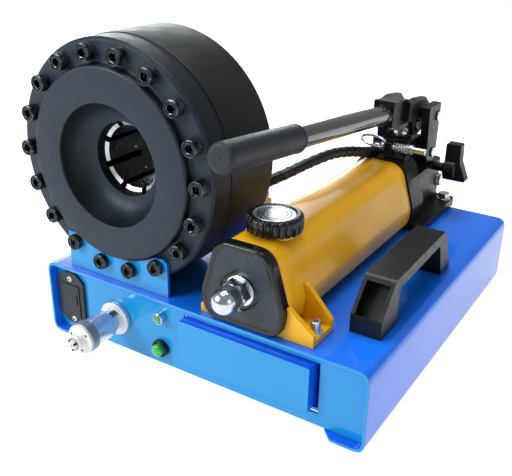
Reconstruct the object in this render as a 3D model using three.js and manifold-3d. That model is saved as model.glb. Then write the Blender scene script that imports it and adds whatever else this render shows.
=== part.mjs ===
// Bench-top hydraulic crimping press with a hand pump, in millimetres, +Z up.
// The press faces -Y. X runs along the front panel, from the die head on the left to the pump on the right.

import * as THREE from "three";
import { mergeVertices } from "three/addons/utils/BufferGeometryUtils.js";
import Module from "manifold-3d";

const wasm = await Module();
wasm.setup();

// ---------------------------------------------------------------- driving dimensions

const GAP = 0.3;

// Folded sheet-metal base: a channel, open at the front, back and bottom
const BASE = { width: 380, depth: 400, height: 84, sheet: 3, bend: 11, flange: 45, corner: 12 };
const BASE_FRONT = -BASE.depth / 2;
const BASE_REAR = BASE.depth / 2;
const PANEL = { recess: 10.3, sheet: 2.5, bottom: 3.4, top: 80.6, corner: 7.6 };
const PANEL_FACE = BASE_FRONT + PANEL.recess;

// Die head: a short cylinder lying along Y
const HEAD = { x: -96, z: 207.6, barrel: 120.6, bore: 100.2, flange: 119.7, boltCircle: 107, segments: 44 };
const COVER = { face: -187.5, back: -160.2, edge: 2.8, disc: 95.8, discFace: -196.4 };
const THROAT = { mouth: 60.9, radius: 38, depth: 28.4, wallRadius: 57, wallDepth: 25 };
const BARREL = { front: -159.9, rear: -87, chamfer: 3 };
const REAR_COVER = { front: -102.5, rear: -88.5, hubRear: -81, hub: 58, bore: 42 };
const DIES = { count: 8, bore: 32, front: -159.5, rear: -106, sideGap: 3.25, chamfer: 3.6, chamferDepth: 2 };
const CONE = { front: -140, rear: -104, radius: 99.6, apothem: 78.35, halfAngle: 25 };
const BOLTS = {
  count: 18, head: 8.2, headHeight: 10, lowHeadHeight: 6.3, shank: 5, shankLength: 13.5, key: 8, keyDepth: 4,
};
const BRACKET = {
  halfWidth: 65.5, top: 124, sheet: 3.2, footSheet: 2.4, footDepth: 41, footInset: 30, arc: 97.5, corner: 7,
};

// Hand pump, centred on its own X, standing on the base
const PUMP = { x: 61 };
const TANK = { front: -186.7, rear: 95, bottom: 2.5, waist: 28, top: 81.5, wall: 3 };
const TANK_HALF = { bottom: 40, waist: 43.6, top: 27 };
const TANK_CORNER = { bottom: 17, waist: 24, top: 20 };
const END_CAP = { front: -199, rear: -187, round: 2.4, grow: 1, shift: -1.2, recess: 19, recessDepth: 3 };
const TIE = { radius: 5, x: -3.5, z: 38, nutFace: -196.3, washer: 15, hexagon: 14.2, dome: 12.3 };
const FILLER = { x: 4, y: -151, radius: 26.5, bottom: 84.6, top: 100, scallops: 26, bore: 15.5 };
const FOOT = {
  left: -51, right: 70, front: -191.5, rear: -152.5, web: 5.5, floor: 6.5, end: 11.8, webTop: 32, rearTop: 41,
  boltX: 62, boltY: -174,
};
const BODY = {
  halfWidth: 35.5, front: 96, rear: 212, bottom: 0.3, plate: 10, plateHalf: 58, top: 60, headRear: 129,
  headGrow: 1.5,
};
const BODY_BOLT = { x: 48, y: 198, bore: 4.6 };
const PLUG = { y: 203, z: 32, bore: 5.4 };
const TOWER = { halfWidth: 19, front: 131, rear: 171, top: 97, neck: 12.6, neckTop: 100 };
const PLUNGER = { y: 151, radius: 9, bottom: 52, pinZ: 113, pin: 5 };
const FULCRUM = { y: 182, z: 120, pin: 6 };
const LINK = { inner: 23, outer: 33, pivotY: 175, pivotZ: 76, front: 152, rear: 190, bottom: 64, top: 136 };
const ROCKER = { inner: 13, outer: 19 };
const SOCKET = { halfWidth: 12.6, front: 89, rear: 132, top: 16, bottom: -12.8 };
const LEVER = { slope: 6.35, tube: 10.75, y: 116, z: 133, tubeFront: 340, tubeRear: 9 };
const GRIP = { front: 350, radius: 13.5, length: 122 };
const LOCK = { y: 108, z: 95.5, radius: 4, left: -5, right: 48, collarFrom: 29.6, collarTo: 32.6, eye: 2.6 };
const LUG = { left: 0, right: 8, front: 102, rear: 117, padRight: 38, padTop: 87 };
const RELEASE = { y: 180, z: 57.5, stem: 5.5, hubStart: 50, hubEnd: 66, hub: 12.5, wing: 6.5, wingTop: 33 };
const HOSE = {
  radius: 5.4, fittingX: -17, fittingY: 114, fittingZ: 85, ferrule: 7, nut: 8, bore: 5.4, groove: 9.2,
};

// Panel controls, each centred on its own X and Z, and the drawer
const BATTERY = { x: -165.5, z: 43, halfWidth: 18.7, halfHeight: 30.7, shoulder: 22, depth: 50 };
const DIAL = {
  x: -102, z: 38.8, flange: 18.5, flangeFace: -5.5, hub: 11.6, hubEnd: -44, sleeve: 14.6, sleeveStart: -17,
  band: 16.2, bandStart: -42, disc: 15.7, discFace: -55, boss: 8.3, bossFace: -63, spindle: 3, reach: 70,
};
const LAMP = { x: -40.6, z: 59.5, radius: 6 };
const BUTTON = { x: -42.6, z: 22.4, bezel: 9.5, bezelDepth: 5.2, stem: 7.7, radius: 6.6 };
const DRAWER = {
  left: -12, right: 133, bottom: 21.6, top: 68.5, front: -200, rear: -42, sheet: 2, slot: 5.4, sill: 5.4,
};
const RAIL = { ledge: 14, rise: 16, sheet: 2.8, drop: 0.6, outside: 2.8 };
const CARRY = { x: 159.5, halfWidth: 15.5, front: -147, rear: 32, height: 52 };

// The origin is the middle of the footprint of the whole machine, on the bench
const EXTENT = {
  left: HEAD.x - HEAD.barrel, right: BASE.width / 2, front: PANEL_FACE - DIAL.reach, rear: BODY.rear + 1,
};

// ---------------------------------------------------------------- materials

function paint(color, roughness, metalness) {
  return new THREE.MeshStandardMaterial({ color, roughness, metalness });
}

const FINISH = {
  blue: () => paint(0x1556e0, 0.35, 0.1),
  yellow: () => paint(0xe0a81c, 0.35, 0.1),
  head: () => paint(0x3c4a5c, 0.55, 0.3),
  barrel: () => paint(0x15181b, 0.5, 0.2),
  black: () => paint(0x141516, 0.6, 0.1),
  oxide: () => paint(0x1c1d1f, 0.4, 0.8),
  steel: () => paint(0x9aa0a6, 0.3, 1),
  chrome: () => paint(0xd5d8da, 0.15, 1),
  plastic: () => paint(0x23272b, 0.6, 0),
  rubber: () => paint(0x2a2e33, 0.85, 0),
  green: () => paint(0x22c34a, 0.3, 0),
};

// ---------------------------------------------------------------- geometry helpers

// Shared corners, position only, and faces pointing out
function closed(geometry) {
  const source = geometry.clone();
  source.deleteAttribute("normal");
  source.deleteAttribute("uv");
  const merged = mergeVertices(source, 1e-4);
  const index = merged.index.array;
  const [a, b, c] = [new THREE.Vector3(), new THREE.Vector3(), new THREE.Vector3()];
  const corners = merged.attributes.position;
  let volume = 0;
  for (let i = 0; i < index.length; i += 3) {
    a.fromBufferAttribute(corners, index[i]);
    b.fromBufferAttribute(corners, index[i + 1]);
    c.fromBufferAttribute(corners, index[i + 2]);
    volume += a.dot(b.cross(c));
  }
  if (volume < 0) {
    for (let i = 0; i < index.length; i += 3) {
      [index[i], index[i + 1]] = [index[i + 1], index[i]];
    }
  }
  return merged;
}

function solid(geometry) {
  const body = closed(geometry);
  const vertProperties = new Float32Array(body.attributes.position.array);
  const triVerts = new Uint32Array(body.index.array);
  return new wasm.Manifold(new wasm.Mesh({ numProp: 3, vertProperties, triVerts }));
}

function fromSolid(manifold) {
  const { vertProperties, triVerts } = manifold.getMesh();
  const geometry = new THREE.BufferGeometry();
  geometry.setAttribute("position", new THREE.BufferAttribute(new Float32Array(vertProperties), 3));
  geometry.setIndex(new THREE.BufferAttribute(new Uint32Array(triVerts), 1));
  return geometry;
}

// Joins the first list and cuts away the second
function carve(joined, cuts = []) {
  let body = solid(joined[0]);
  for (const piece of joined.slice(1)) {
    body = body.add(solid(piece));
  }
  for (const piece of cuts) {
    body = body.subtract(solid(piece));
  }
  return fromSolid(body);
}

function block(x0, x1, y0, y1, z0, z1) {
  const box = new THREE.BoxGeometry(x1 - x0, y1 - y0, z1 - z0);
  return box.translate((x0 + x1) / 2, (y0 + y1) / 2, (z0 + z1) / 2);
}

function rod(axis, radius, from, to, segments = 20) {
  const cylinder = new THREE.CylinderGeometry(radius, radius, to - from, segments);
  cylinder.translate(0, (from + to) / 2, 0);
  if (axis === "x") {
    return cylinder.rotateZ(-Math.PI / 2);
  }
  return axis === "z" ? cylinder.rotateX(Math.PI / 2) : cylinder;
}

// A closed outline through the given corners, each rounded by its own radius
function outline(corners) {
  const shape = new THREE.Shape();
  const count = corners.length;
  corners.forEach(([x, y, radius = 0], i) => {
    const corner = new THREE.Vector2(x, y);
    const before = new THREE.Vector2(...corners[(i + count - 1) % count]);
    const after = new THREE.Vector2(...corners[(i + 1) % count]);
    const toBefore = before.sub(corner).normalize();
    const toAfter = after.sub(corner).normalize();
    const halfAngle = Math.acos(THREE.MathUtils.clamp(toBefore.dot(toAfter), -1, 1)) / 2;
    const reach = radius / Math.tan(halfAngle);
    const start = corner.clone().addScaledVector(toBefore, reach);
    const end = corner.clone().addScaledVector(toAfter, reach);
    if (i === 0) {
      shape.moveTo(start.x, start.y);
    } else {
      shape.lineTo(start.x, start.y);
    }
    if (radius > 0) {
      shape.quadraticCurveTo(x, y, end.x, end.y);
    }
  });
  return shape;
}

const rectangle = (x0, x1, y0, y1, r = 0) => outline([[x0, y0, r], [x1, y0, r], [x1, y1, r], [x0, y1, r]]);

// A round hole through an outline
function circle(x, y, radius, sides = 14) {
  const points = [];
  for (let i = 0; i < sides; i += 1) {
    const angle = (-i / sides) * 2 * Math.PI;
    points.push(new THREE.Vector2(x + radius * Math.cos(angle), y + radius * Math.sin(angle)));
  }
  return new THREE.Path(points);
}

function extrude(shape, depth, options = {}) {
  return new THREE.ExtrudeGeometry(shape, { depth, bevelEnabled: false, curveSegments: 5, ...options });
}

// An (x, z) outline swept along Y
function alongY(shape, y0, y1, options) {
  return extrude(shape, y1 - y0, options).rotateX(Math.PI / 2).translate(0, y1, 0);
}

// A (y, z) outline swept along X
function alongX(shape, x0, x1, options) {
  const turn = new THREE.Matrix4().makeBasis(
    new THREE.Vector3(0, 1, 0), new THREE.Vector3(0, 0, 1), new THREE.Vector3(1, 0, 0));
  return extrude(shape, x1 - x0, options).applyMatrix4(turn).translate(x0, 0, 0);
}

function alongZ(shape, z0, z1, options) {
  return extrude(shape, z1 - z0, options).translate(0, 0, z0);
}

// A ring or disc turned about the Y axis from [radius, y] points
function turned(points, segments = HEAD.segments) {
  const profile = points.map(([radius, y]) => new THREE.Vector2(radius, y));
  return new THREE.LatheGeometry(profile, segments);
}

const ring = (points, segments) => turned([...points, points[0]], segments);

function mesh(name, geometry, material, parent, position = [0, 0, 0]) {
  const body = new THREE.Mesh(closed(geometry), material);
  body.name = name;
  body.position.set(...position);
  parent.add(body);
  return body;
}

function frameAt(parent, x, y, z) {
  const group = new THREE.Group();
  group.position.set(x, y, z);
  parent.add(group);
  return group;
}

const machine = new THREE.Group();
machine.position.set(-(EXTENT.left + EXTENT.right) / 2, -(EXTENT.front + EXTENT.rear) / 2, 0);

// ---------------------------------------------------------------- base

function addBase() {
  const { height, sheet, bend, flange, corner } = BASE;
  const side = BASE.width / 2;
  const lip = side - flange;
  const inner = side - sheet;
  const innerBend = bend - sheet;
  const section = outline([
    [lip, 0], [side, 0, bend], [side, height, bend], [-side, height, bend], [-side, 0, bend], [-lip, 0],
    [-lip, sheet], [-inner, sheet, innerBend], [-inner, height - sheet, innerBend],
    [inner, height - sheet, innerBend], [inner, sheet, innerBend], [lip, sheet],
  ]);
  const cutCorners = [];
  for (const sx of [-1, 1]) {
    for (const sy of [-1, 1]) {
      const cut = outline([
        [sx * (lip - 1), sy * (BASE_REAR + 1)], [sx * (lip + corner), sy * (BASE_REAR + 1)],
        [sx * (lip - 1), sy * (BASE_REAR - corner)],
      ]);
      cutCorners.push(alongZ(cut, -1, sheet + 1));
    }
  }
  mesh("base_shell", carve([alongY(section, BASE_FRONT, BASE_REAR)], cutCorners), FINISH.blue(), machine);

  const width = inner - 0.4;
  const front = rectangle(-width, width, PANEL.bottom, PANEL.top, PANEL.corner);
  front.holes.push(
    rectangle(DRAWER.left - 0.8, DRAWER.right + DRAWER.slot, DRAWER.bottom - DRAWER.sill, DRAWER.top + 2),
    rectangle(BATTERY.x - 15.2, BATTERY.x + 15.2, BATTERY.z - 24.4, BATTERY.z + 19),
    circle(DIAL.x, DIAL.z, 7),
    circle(LAMP.x, LAMP.z, 5),
    circle(BUTTON.x, BUTTON.z, BUTTON.stem + 0.4),
  );
  const plate = alongY(front, PANEL_FACE, PANEL_FACE + PANEL.sheet);
  mesh("front_panel", carve([plate, ...drawerRails()]), FINISH.blue(), machine);
}

// Two angle rails, welded to the back of the panel, that carry the drawer
function drawerRails() {
  const { left, right, bottom, rear, slot } = DRAWER;
  const { ledge, rise, sheet, drop, outside } = RAIL;
  const rail = (x, inward) => outline([
    [x, bottom - drop - sheet], [x + inward * ledge, bottom - drop - sheet],
    [x + inward * ledge, bottom - drop],
    [x + inward * 2.2, bottom - drop], [x + inward * 2.2, bottom + rise], [x, bottom + rise],
  ]);
  const rails = [rail(left - outside, 1), rail(right + slot + 2, -1)];
  return rails.map((shape) => alongY(shape, PANEL_FACE + PANEL.sheet - 1, rear));
}

// ---------------------------------------------------------------- panel controls

function addBatteryHolder() {
  const holder = frameAt(machine, BATTERY.x, PANEL_FACE, BATTERY.z);
  const { halfWidth, halfHeight, shoulder, depth } = BATTERY;
  const face = outline([
    [-halfWidth, -shoulder, 3], [-8, -halfHeight, 6], [8, -halfHeight, 6], [halfWidth, -shoulder, 3],
    [halfWidth, shoulder, 3], [8, halfHeight, 6], [-8, halfHeight, 6], [-halfWidth, shoulder, 3],
  ]);
  const rim = alongY(face, -3.4, -GAP);
  const well = block(-14.8, 14.8, -1, depth, -24, 18.6);
  const cavity = block(-13, 13, -10, depth - 1.6, -22.3, 16.9);
  mesh("battery_holder", carve([rim, well], [cavity]), FINISH.plastic(), holder);

  const drawerBody = block(-12.6, 12.6, -4.4, depth - 2.4, -21.9, 16.5);
  const pocket = block(-10.6, 20, -1.4, depth - 5, -19.8, 14.4);
  const fingerSlot = block(8.6, 10.4, -6, -2.6, -7, 6);
  mesh("battery_tray", carve([drawerBody], [pocket, fingerSlot]), FINISH.plastic(), holder);
}

function addDial() {
  const dial = frameAt(machine, DIAL.x, PANEL_FACE, DIAL.z);
  const bore = DIAL.spindle + 0.4;
  const { flange, flangeFace, hub, hubEnd, sleeve, sleeveStart } = DIAL;
  const { band, bandStart, disc, discFace, boss, bossFace } = DIAL;
  const mount = ring([
    [bore, 14], [6.6, 14], [6.6, -GAP], [flange, -GAP], [flange, flangeFace + 0.8],
    [flange - 0.8, flangeFace], [hub, flangeFace], [hub, hubEnd], [bore, hubEnd],
  ], 24);
  mesh("dial_mount", mount, FINISH.chrome(), dial);

  const fit = hub + 0.4;
  const thimble = ring([
    [fit, sleeveStart], [sleeve - 0.8, sleeveStart], [sleeve, sleeveStart - 0.8], [sleeve, bandStart],
    [band, bandStart - 0.6], [band, discFace + 3], [disc, discFace + 2.6], [disc - 0.8, discFace],
    [boss, discFace], [boss, bossFace + 1.6], [boss - 1.6, bossFace], [bore, bossFace], [bore, hubEnd - GAP],
    [fit, hubEnd - GAP],
  ], 24);
  mesh("dial_thimble", thimble, FINISH.chrome(), dial);

  const spindle = turned([
    [0, 24], [DIAL.spindle, 24], [DIAL.spindle, bossFace - GAP], [5.4, bossFace - GAP], [5.4, bossFace - 3.6],
    [4, bossFace - 4.6], [2.4, bossFace - 4.6], [2.4, -DIAL.reach], [0, -DIAL.reach],
  ], 14);
  mesh("dial_spindle", spindle, FINISH.steel(), dial);
}

function addLampAndButton() {
  const lamp = turned([
    [0, 9], [4.8, 9], [4.8, -GAP], [LAMP.radius, -GAP], [LAMP.radius, -7.4], [5.4, -8.2], [4.2, -8.2],
    [4.2, -7], [3, -8.6], [0, -9.4],
  ], 18);
  mesh("indicator_lamp", lamp, FINISH.green(), machine, [LAMP.x, PANEL_FACE, LAMP.z]);

  const { radius, bezel, bezelDepth, stem } = BUTTON;
  const bezelRing = ring([
    [radius + 0.4, 8], [stem, 8], [stem, -GAP], [bezel, -GAP], [bezel, 0.8 - bezelDepth],
    [bezel - 0.8, -bezelDepth], [radius + 0.4, -bezelDepth],
  ], 18);
  mesh("button_bezel", bezelRing, FINISH.plastic(), machine, [BUTTON.x, PANEL_FACE, BUTTON.z]);
  const cap = turned([
    [0, 8], [radius, 8], [radius, -8.6], [5.2, -10.4], [2.8, -11.3], [0, -11.6],
  ], 18);
  mesh("push_button", cap, FINISH.green(), machine, [BUTTON.x, PANEL_FACE, BUTTON.z]);
}

function addDieDrawer() {
  const { left, right, bottom, top, front, rear, sheet } = DRAWER;
  const step = 3;
  const lipRear = PANEL_FACE + PANEL.sheet + 4;
  const trayTop = top - 6;
  const face = block(left, right, front, lipRear, bottom, top);
  const tray = block(left + step, right - step, lipRear - 1, rear, bottom + sheet, trayTop);
  const faceHollow = block(left + step + sheet, right - step - sheet, front + sheet, lipRear + 1,
    bottom + 2 * sheet, top - sheet);
  const trayHollow = block(left + step + sheet, right - step - sheet, lipRear - 2, rear - sheet,
    bottom + 2 * sheet, top + 1);
  mesh("die_drawer", carve([face, tray], [faceHollow, trayHollow]), FINISH.blue(), machine);
}

// ---------------------------------------------------------------- die head

// Angles of the cover bolts, clockwise seen from the front, symmetrical about the vertical
const boltAngle = (i) => THREE.MathUtils.degToRad(100 - (i * 360) / BOLTS.count);
const boltDirection = (i) => [Math.cos(boltAngle(i)), Math.sin(boltAngle(i))];
const boltCentre = (i) => boltDirection(i).map((part) => HEAD.boltCircle * part);
const holdsBracket = (i) => boltCentre(i)[1] < BRACKET.top - HEAD.z - BOLTS.head;

function throatProfile(steps) {
  const { mouth, radius, depth, wallRadius, wallDepth } = THROAT;
  const curve = new THREE.QuadraticBezierCurve(
    new THREE.Vector2(mouth, COVER.discFace),
    new THREE.Vector2(wallRadius, COVER.discFace + wallDepth),
    new THREE.Vector2(radius, COVER.discFace + depth));
  return curve.getPoints(steps).map((p) => [p.x, p.y]);
}

function addHeadHousing(head) {
  const screwHoles = [];
  for (let i = 0; i < BOLTS.count; i += 1) {
    const [x, z] = boltCentre(i);
    screwHoles.push(rod("y", BOLTS.shank + 0.4, COVER.face - 1, COVER.face + BOLTS.shankLength + 1, 8)
      .translate(x, 0, z));
  }
  const cover = ring([
    [THROAT.radius, COVER.back], [HEAD.flange, COVER.back], [HEAD.flange, COVER.face + COVER.edge],
    [HEAD.flange - COVER.edge, COVER.face], [COVER.disc, COVER.face], [COVER.disc, COVER.discFace + 1],
    [COVER.disc - 1, COVER.discFace], ...throatProfile(5),
  ]);
  mesh("front_cover", carve([cover], screwHoles), FINISH.head(), head);

  const barrel = ring([
    [HEAD.bore, BARREL.front], [HEAD.barrel, BARREL.front], [HEAD.barrel, BARREL.rear - BARREL.chamfer],
    [HEAD.barrel - BARREL.chamfer, BARREL.rear], [HEAD.bore, BARREL.rear],
  ]);
  const port = rod("y", 6.4, BARREL.rear - 12, BARREL.rear + 1, 12).translate(...portPlace(0));
  mesh("head_barrel", carve([barrel], [port]), FINISH.barrel(), head);

  const { front, rear, hubRear, hub, bore } = REAR_COVER;
  const edge = HEAD.bore - 0.4;
  const rearCover = ring([
    [bore, front], [edge, front], [edge, rear], [hub, rear], [hub, hubRear + 2], [hub - 2, hubRear],
    [bore + 3, hubRear], [bore, hubRear + 3],
  ]);
  mesh("rear_cover", rearCover, FINISH.barrel(), head);
}

// The oil port is in the barrel wall, low on the pump's side
function portPlace(y) {
  const angle = THREE.MathUtils.degToRad(-35);
  const radius = (HEAD.bore + HEAD.barrel) / 2;
  return [radius * Math.cos(angle), y, radius * Math.sin(angle)];
}

function addBolts(head) {
  const keyRadius = BOLTS.key / Math.sqrt(3);
  const keyway = new THREE.CylinderGeometry(keyRadius, keyRadius, BOLTS.key, 6);
  const capScrew = (headHeight, seat) => {
    const tip = seat + BOLTS.shankLength;
    const top = seat - headHeight;
    const body = turned([
      [0, tip], [BOLTS.shank, tip], [BOLTS.shank, seat], [BOLTS.head, seat], [BOLTS.head, top + 0.8],
      [BOLTS.head - 0.8, top], [0, top],
    ], 12);
    return carve([body], [keyway.clone().translate(0, top + BOLTS.keyDepth - BOLTS.key / 2, 0)]);
  };
  const tallScrew = capScrew(BOLTS.headHeight, COVER.face - GAP);
  const lowScrew = capScrew(BOLTS.lowHeadHeight, COVER.face - BRACKET.sheet - 3 * GAP);
  for (let i = 0; i < BOLTS.count; i += 1) {
    const [x, z] = boltCentre(i);
    const name = `cover_bolt_${String(i + 1).padStart(2, "0")}`;
    mesh(name, holdsBracket(i) ? lowScrew : tallScrew, FINISH.oxide(), head, [x, 0, z]);
  }
}

function addDiesAndPiston(head) {
  const slope = Math.tan(THREE.MathUtils.degToRad(CONE.halfAngle));
  const halfTurn = Math.PI / DIES.count;
  const apothem = (y) => CONE.apothem - (y - CONE.front) * slope;
  const toCorner = (radius) => radius / Math.cos(halfTurn);

  const coneLength = CONE.rear - CONE.front + 2;
  const cone = new THREE.CylinderGeometry(
    toCorner(apothem(CONE.rear + 1)), toCorner(apothem(CONE.front - 1)), coneLength, DIES.count)
    .rotateY(halfTurn).translate(0, (CONE.front + CONE.rear) / 2, 0);
  const disc = rod("y", CONE.radius, CONE.front, CONE.rear, HEAD.segments);
  mesh("cone_piston", carve([disc], [cone]), FINISH.steel(), head);

  const reach = 95;
  const start = 20;
  const edge = DIES.sideGap / Math.cos(halfTurn);
  const halfWidth = (radius) => radius * Math.tan(halfTurn) - edge;
  const wedge = alongY(outline([
    [start, -halfWidth(start)], [reach, -halfWidth(reach)],
    [reach, halfWidth(reach)], [start, halfWidth(start)],
  ]), DIES.front, DIES.rear);
  const clearance = GAP / Math.cos(THREE.MathUtils.degToRad(CONE.halfAngle)) + 0.05;
  const [near, far] = [DIES.front - 1, DIES.rear + 1];
  const taperShape = outline([
    [0, near], [apothem(near) - clearance, near], [apothem(far) - clearance, far], [0, far],
  ]);
  const taper = alongZ(taperShape, -reach, reach);
  const bore = rod("y", DIES.bore, DIES.front - 1, DIES.rear + 1, 48);
  const chamfer = new THREE.CylinderGeometry(
    DIES.bore, DIES.bore + 2 * DIES.chamfer, 2 * DIES.chamferDepth, 48).translate(0, DIES.front, 0);
  const buttonHole = rod("x", 3.6, DIES.bore - 6, DIES.bore + 9, 10)
    .translate(0, (DIES.front + DIES.rear) / 2 - 8, 0);
  const die = fromSolid(solid(wedge).intersect(solid(taper)).subtract(solid(bore))
    .subtract(solid(chamfer)).subtract(solid(buttonHole)));
  for (let i = 0; i < DIES.count; i += 1) {
    const body = mesh(`master_die_${i + 1}`, die, FINISH.oxide(), head);
    body.rotation.y = -i * 2 * halfTurn;
  }
}

// An angle bracket that stands in front of the flange, hollowed to clear the raised disc
function addBracket() {
  const { halfWidth, top, sheet, footSheet, footDepth, footInset, arc, corner } = BRACKET;
  const bottom = BASE.height + GAP;
  const left = HEAD.x - halfWidth;
  const right = HEAD.x + halfWidth;
  const rise = HEAD.z - top;
  const arcAngle = Math.asin(rise / arc);
  const shape = new THREE.Shape();
  shape.moveTo(left, bottom);
  shape.lineTo(right, bottom);
  shape.lineTo(right, top - corner);
  shape.quadraticCurveTo(right, top, right - corner, top);
  shape.absarc(HEAD.x, HEAD.z, arc, -arcAngle, arcAngle - Math.PI, true);
  shape.lineTo(left, top);
  for (let i = 0; i < BOLTS.count; i += 1) {
    const [x, z] = boltCentre(i);
    if (holdsBracket(i)) {
      shape.holes.push(circle(HEAD.x + x, HEAD.z + z, BOLTS.shank + 0.4));
    }
  }
  const rear = COVER.face - GAP;
  const front = rear - sheet;
  const upright = alongY(shape, front, rear, { curveSegments: 12 });
  const foot = block(left, right - footInset, front, front + footDepth, bottom, bottom + footSheet);
  mesh("head_bracket", carve([upright, foot]), FINISH.blue(), machine);
}

function addHead() {
  const head = frameAt(machine, HEAD.x, 0, HEAD.z);
  addHeadHousing(head);
  addBolts(head);
  addDiesAndPiston(head);
  addBracket();
}

// ---------------------------------------------------------------- oil tank

function tankSection(grow = 0) {
  const { bottom, waist, top } = TANK;
  const lower = TANK_HALF.bottom + grow;
  const middle = TANK_HALF.waist + grow;
  const upper = TANK_HALF.top + grow;
  return outline([
    [-lower, bottom - grow, TANK_CORNER.bottom], [lower, bottom - grow, TANK_CORNER.bottom],
    [middle, waist, TANK_CORNER.waist], [upper, top + grow, TANK_CORNER.top],
    [-upper, top + grow, TANK_CORNER.top], [-middle, waist, TANK_CORNER.waist],
  ]);
}

function addTank(pump) {
  const shell = alongY(tankSection(), TANK.front, TANK.rear);
  const hollow = alongY(tankSection(-TANK.wall), TANK.front - 1, TANK.rear - TANK.wall);
  const neck = rod("z", FILLER.bore + 3, TANK.top - 2, TANK.top + 2.6, 24).translate(FILLER.x, FILLER.y, 0);
  const neckBore = rod("z", FILLER.bore, TANK.top - 8, TANK.top + 9, 24).translate(FILLER.x, FILLER.y, 0);
  mesh("oil_tank", carve([shell, neck], [hollow, neckBore]), FINISH.yellow(), pump);

  const { round } = END_CAP;
  const capBody = alongY(tankSection(END_CAP.grow), END_CAP.front + round, END_CAP.rear - round,
    { bevelEnabled: true, bevelThickness: round, bevelSize: round, bevelOffset: -round, bevelSegments: 2 })
    .translate(END_CAP.shift, 0, 0);
  const nutRecess = rod("y", END_CAP.recess, END_CAP.front - 1, END_CAP.front + END_CAP.recessDepth, 24)
    .translate(TIE.x, 0, TIE.z);
  const rodHole = rod("y", TIE.radius + 0.5, END_CAP.front - 2, END_CAP.rear + 1, 12)
    .translate(TIE.x, 0, TIE.z);
  mesh("tank_end_cap", carve([capBody], [nutRecess, rodHole]), FINISH.plastic(), pump);

  const seat = TIE.nutFace;
  const stud = rod("y", TIE.radius, seat - 5, TANK.rear - TANK.wall - GAP, 12);
  const washer = rod("y", TIE.washer, seat - 1.4, seat, 20);
  const hexagon = new THREE.CylinderGeometry(TIE.hexagon, TIE.hexagon, 13, 6).translate(0, seat - 7.4, 0);
  const dome = turned([
    [0, seat - 13], [TIE.dome, seat - 13], [TIE.dome, seat - 24], [TIE.dome - 1.6, seat - 30],
    [TIE.dome - 5.4, seat - 34.6], [0, seat - 36.5],
  ], 20);
  mesh("tie_rod", carve([stud, washer, hexagon, dome]), FINISH.chrome(), pump, [TIE.x, 0, TIE.z]);
}

function addFiller(pump) {
  const { radius, bottom, top, scallops } = FILLER;
  const filler = frameAt(pump, FILLER.x, FILLER.y, 0);
  const steps = scallops * 2;
  const edge = new THREE.Shape();
  for (let i = 0; i < steps; i += 1) {
    const angle = (i / steps) * 2 * Math.PI;
    const reach = i % 2 ? radius : radius - 1.4;
    const [x, y] = [reach * Math.cos(angle), reach * Math.sin(angle)];
    if (i === 0) {
      edge.moveTo(x, y);
    } else {
      edge.lineTo(x, y);
    }
  }
  const skirt = alongZ(edge, bottom, top - 1.6);
  const crown = new THREE.CylinderGeometry(radius - 3, radius - 1.5, 2, 28)
    .rotateX(Math.PI / 2).translate(0, 0, top - 1);
  const under = rod("z", FILLER.bore + 3.6, bottom - 1, bottom + 4, 20);
  mesh("filler_cap", carve([skirt, crown], [under]), FINISH.black(), filler);

  const stick = rod("z", 3.2, TIE.z + TIE.radius + 4, bottom, 10);
  const plug = rod("z", FILLER.bore - 1, bottom - 12, bottom + 3.6, 20);
  mesh("dipstick", carve([stick, plug]), FINISH.steel(), filler);
}

function addTankFoot(pump) {
  const { left, right, front, rear, web, floor, end, webTop, rearTop } = FOOT;
  const rib = (top) => outline([
    [left, GAP], [right, GAP], [right, end, 2], [TANK_HALF.waist, top, 3], [TANK_HALF.waist - 10, top],
    [-TANK_HALF.waist + 6, top - 16], [left, floor + 2, 2],
  ]);
  const ribs = [alongY(rib(webTop), front, front + web), alongY(rib(rearTop), rear - web, rear)];
  const plate = block(left, right, front + 1, rear - 1, GAP, floor);
  const tankSpace = alongY(tankSection(GAP + 0.1), TANK.front - 2, TANK.rear);
  const capSpace = alongY(tankSection(END_CAP.grow + GAP + 0.1), END_CAP.front - 5, END_CAP.rear + GAP)
    .translate(END_CAP.shift, 0, 0);
  const boltHole = rod("z", 4.6, -1, floor + 1, 10).translate(FOOT.boltX, FOOT.boltY, 0);
  mesh("tank_foot", carve([...ribs, plate], [tankSpace, capSpace, boltHole]), FINISH.yellow(), pump);
}

// ---------------------------------------------------------------- pump head

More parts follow.
